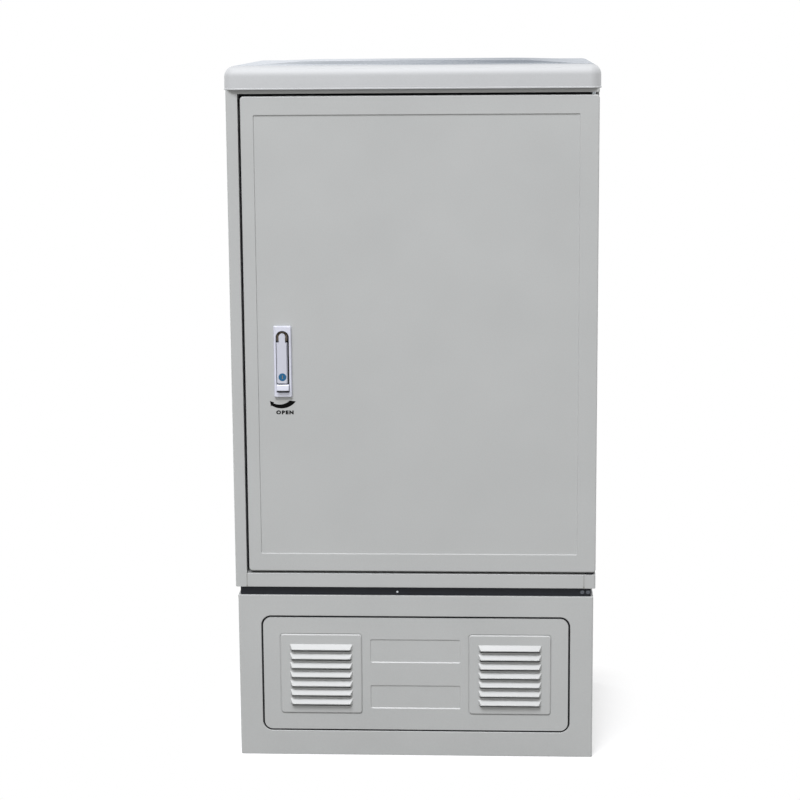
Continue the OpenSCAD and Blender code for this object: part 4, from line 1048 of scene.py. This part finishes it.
card_material, card_tree, _, card_place = start_finish("grey_card")
card_axes = add_node(card_tree, "ShaderNodeSeparateXYZ", {0: card_place}).outputs
card_off = add_node(card_tree, "ShaderNodeMath", {0: card_axes["X"]}, operation="ABSOLUTE")
card_bands = add_node(card_tree, "ShaderNodeMapping",
                      {"Vector": card_place, "Scale": (1 / BAND_LONG, 1.0, 1 / BAND_TALL)})
card_cloud = add_node(card_tree, "ShaderNodeTexNoise", {"Vector": card_bands, "Scale": 1.0, "Detail": 1.0})
card_level, card_side, card_streak, side_fade, top_fade = [
    add_node(card_tree, "ShaderNodeMapRange",
             {"Value": value, "From Min": start, "From Max": stop, "To Min": first, "To Max": last})
    for value, start, stop, first, last in (
        (card_axes["Z"], LIGHT_BELOW, DARK_ABOVE, LOW_LIGHT, 0.0),
        (card_axes["X"], LIGHT_LEFT, DARK_RIGHT, LEFT_LIGHT, 0.0),
        (card_cloud, BAND_FROM, BAND_TO, BAND_DARKEN, BAND_LIGHTEN),
        (card_off, CARD_HALF / 2, CARD_HALF, 0.0, 1.0),
        (card_axes["Z"], FADE_FROM, CARD_TOP, 0.0, 1.0))]
card_light = add_node(card_tree, "ShaderNodeMath", {0: card_level, 1: card_side}, operation="ADD")
card_mix = add_node(card_tree, "ShaderNodeMath", {0: card_light, 1: card_streak}, operation="ADD")
card_tone = add_node(card_tree, "ShaderNodeMix",
                     {0: card_mix, MIX_A: linear(CARD_DARK), MIX_B: linear(CARD_LIGHT)}, data_type="RGBA")
edge_fade = add_node(card_tree, "ShaderNodeMath", {0: side_fade, 1: top_fade}, operation="MAXIMUM")
card_shown = add_node(card_tree, "ShaderNodeMix",
                      {0: edge_fade, MIX_A: card_tone.outputs[MIX_OUT], MIX_B: WHITE}, data_type="RGBA")
glow = add_node(card_tree, "ShaderNodeEmission", {"Color": card_shown.outputs[MIX_OUT], "Strength": 1.0})
card_tree.links.new(glow.outputs[0], card_tree.nodes["Material Output"].inputs["Surface"])
card_corners = [(-CARD_HALF, CARD_Y, CARD_LOW), (CARD_HALF, CARD_Y, CARD_LOW),
                (CARD_HALF, CARD_Y, CARD_TOP), (-CARD_HALF, CARD_Y, CARD_TOP)]
card = stage_sheet("grey_card", card_corners, card_material)
for ray in ("camera", "diffuse", "shadow", "transmission"):
    setattr(card, "visible_" + ray, False)
print("card width in m:", 2 * CARD_HALF)

# %% [markdown]
# The light is a plain soft studio: one broad softbox high in front, two weak ones behind for the sides
# and the back, and the even fill from all round. The front one stands so steep that louvres and the
# hood's shoulder, which face half upwards, come out much brighter than the door. The two behind are
# kept out of reflections, because they would show as bright squares.

# %% Softboxes
AIM = Vector((0.0, 0.0, 0.7))
LAMP_TONE = "#fbfbff"


def soft_lamp(name, place, width, height, power, mirrored=True):
    lamp_data = bpy.data.lights.new(name, "AREA")
    lamp_data.shape = "RECTANGLE"
    lamp_data.size = width
    lamp_data.size_y = height
    lamp_data.energy = power
    lamp_data.color = linear(LAMP_TONE)[:3]
    lamp = new_object(name, lamp_data)
    lamp.location = place
    lamp.visible_glossy = mirrored
    lamp.rotation_euler = (AIM - Vector(place)).to_track_quat("-Z", "Y").to_euler()


soft_lamp("softbox_front", (-2.0, -6.6, 10.6), width=5.5, height=4.5, power=1500)
soft_lamp("softbox_rear_left", (-5.0, 4.2, 1.9), width=2.6, height=2.6, power=200, mirrored=False)
soft_lamp("softbox_rear_right", (5.0, 3.4, 1.9), width=2.6, height=2.6, power=240, mirrored=False)
print("lamps:", [lamp.name for lamp in bpy.data.lights])

# %% [markdown]
# The camera repeats the photograph's view: nearly straight on, from a little right of the middle and
# a little above the hood, with a long lens. Place and angles come from fitting the cabinet's own edges
# to the picture. Its axes are built from the viewing direction, because pitch, yaw and roll are then
# plain to read.

# %% The camera
CAMERA_PLACE = Vector((0.1923, -4.5044, 1.5172))
CAMERA_PITCH, CAMERA_YAW, CAMERA_ROLL = math.radians(10.074), math.radians(-2.978), math.radians(-0.436)
FOCAL_PIXELS, IMAGE_PIXELS, SENSOR_MM = 2100, 800, 36

forward = Vector((math.sin(CAMERA_YAW) * math.cos(CAMERA_PITCH),
                  math.cos(CAMERA_YAW) * math.cos(CAMERA_PITCH), -math.sin(CAMERA_PITCH)))
level = Vector((math.cos(CAMERA_YAW), -math.sin(CAMERA_YAW), 0))
upward = level.cross(forward)
right = level * math.cos(CAMERA_ROLL) + upward * math.sin(CAMERA_ROLL)
top = upward * math.cos(CAMERA_ROLL) - level * math.sin(CAMERA_ROLL)
axes = Matrix((right, top, -forward)).transposed().to_4x4()
camera_data = bpy.data.cameras.new("photo_view")
camera_data.sensor_width = SENSOR_MM
camera_data.lens = FOCAL_PIXELS / IMAGE_PIXELS * SENSOR_MM
camera = new_object("photo_view", camera_data)
camera.matrix_world = Matrix.Translation(CAMERA_PLACE) @ axes
bpy.context.scene.camera = camera
bpy.context.scene.view_settings.view_transform = "Standard"
print("lens in mm:", round(camera_data.lens, 1))

# %% [markdown]
# The last cell prints the size of the dressed model. Set beside the size of the CAD solids printed at
# the start, it shows any piece that grew past the solids.

# %% Size of the dressed model
low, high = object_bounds()
print("dressed size in mm:", [round(v / MM, 1) for v in high - low])
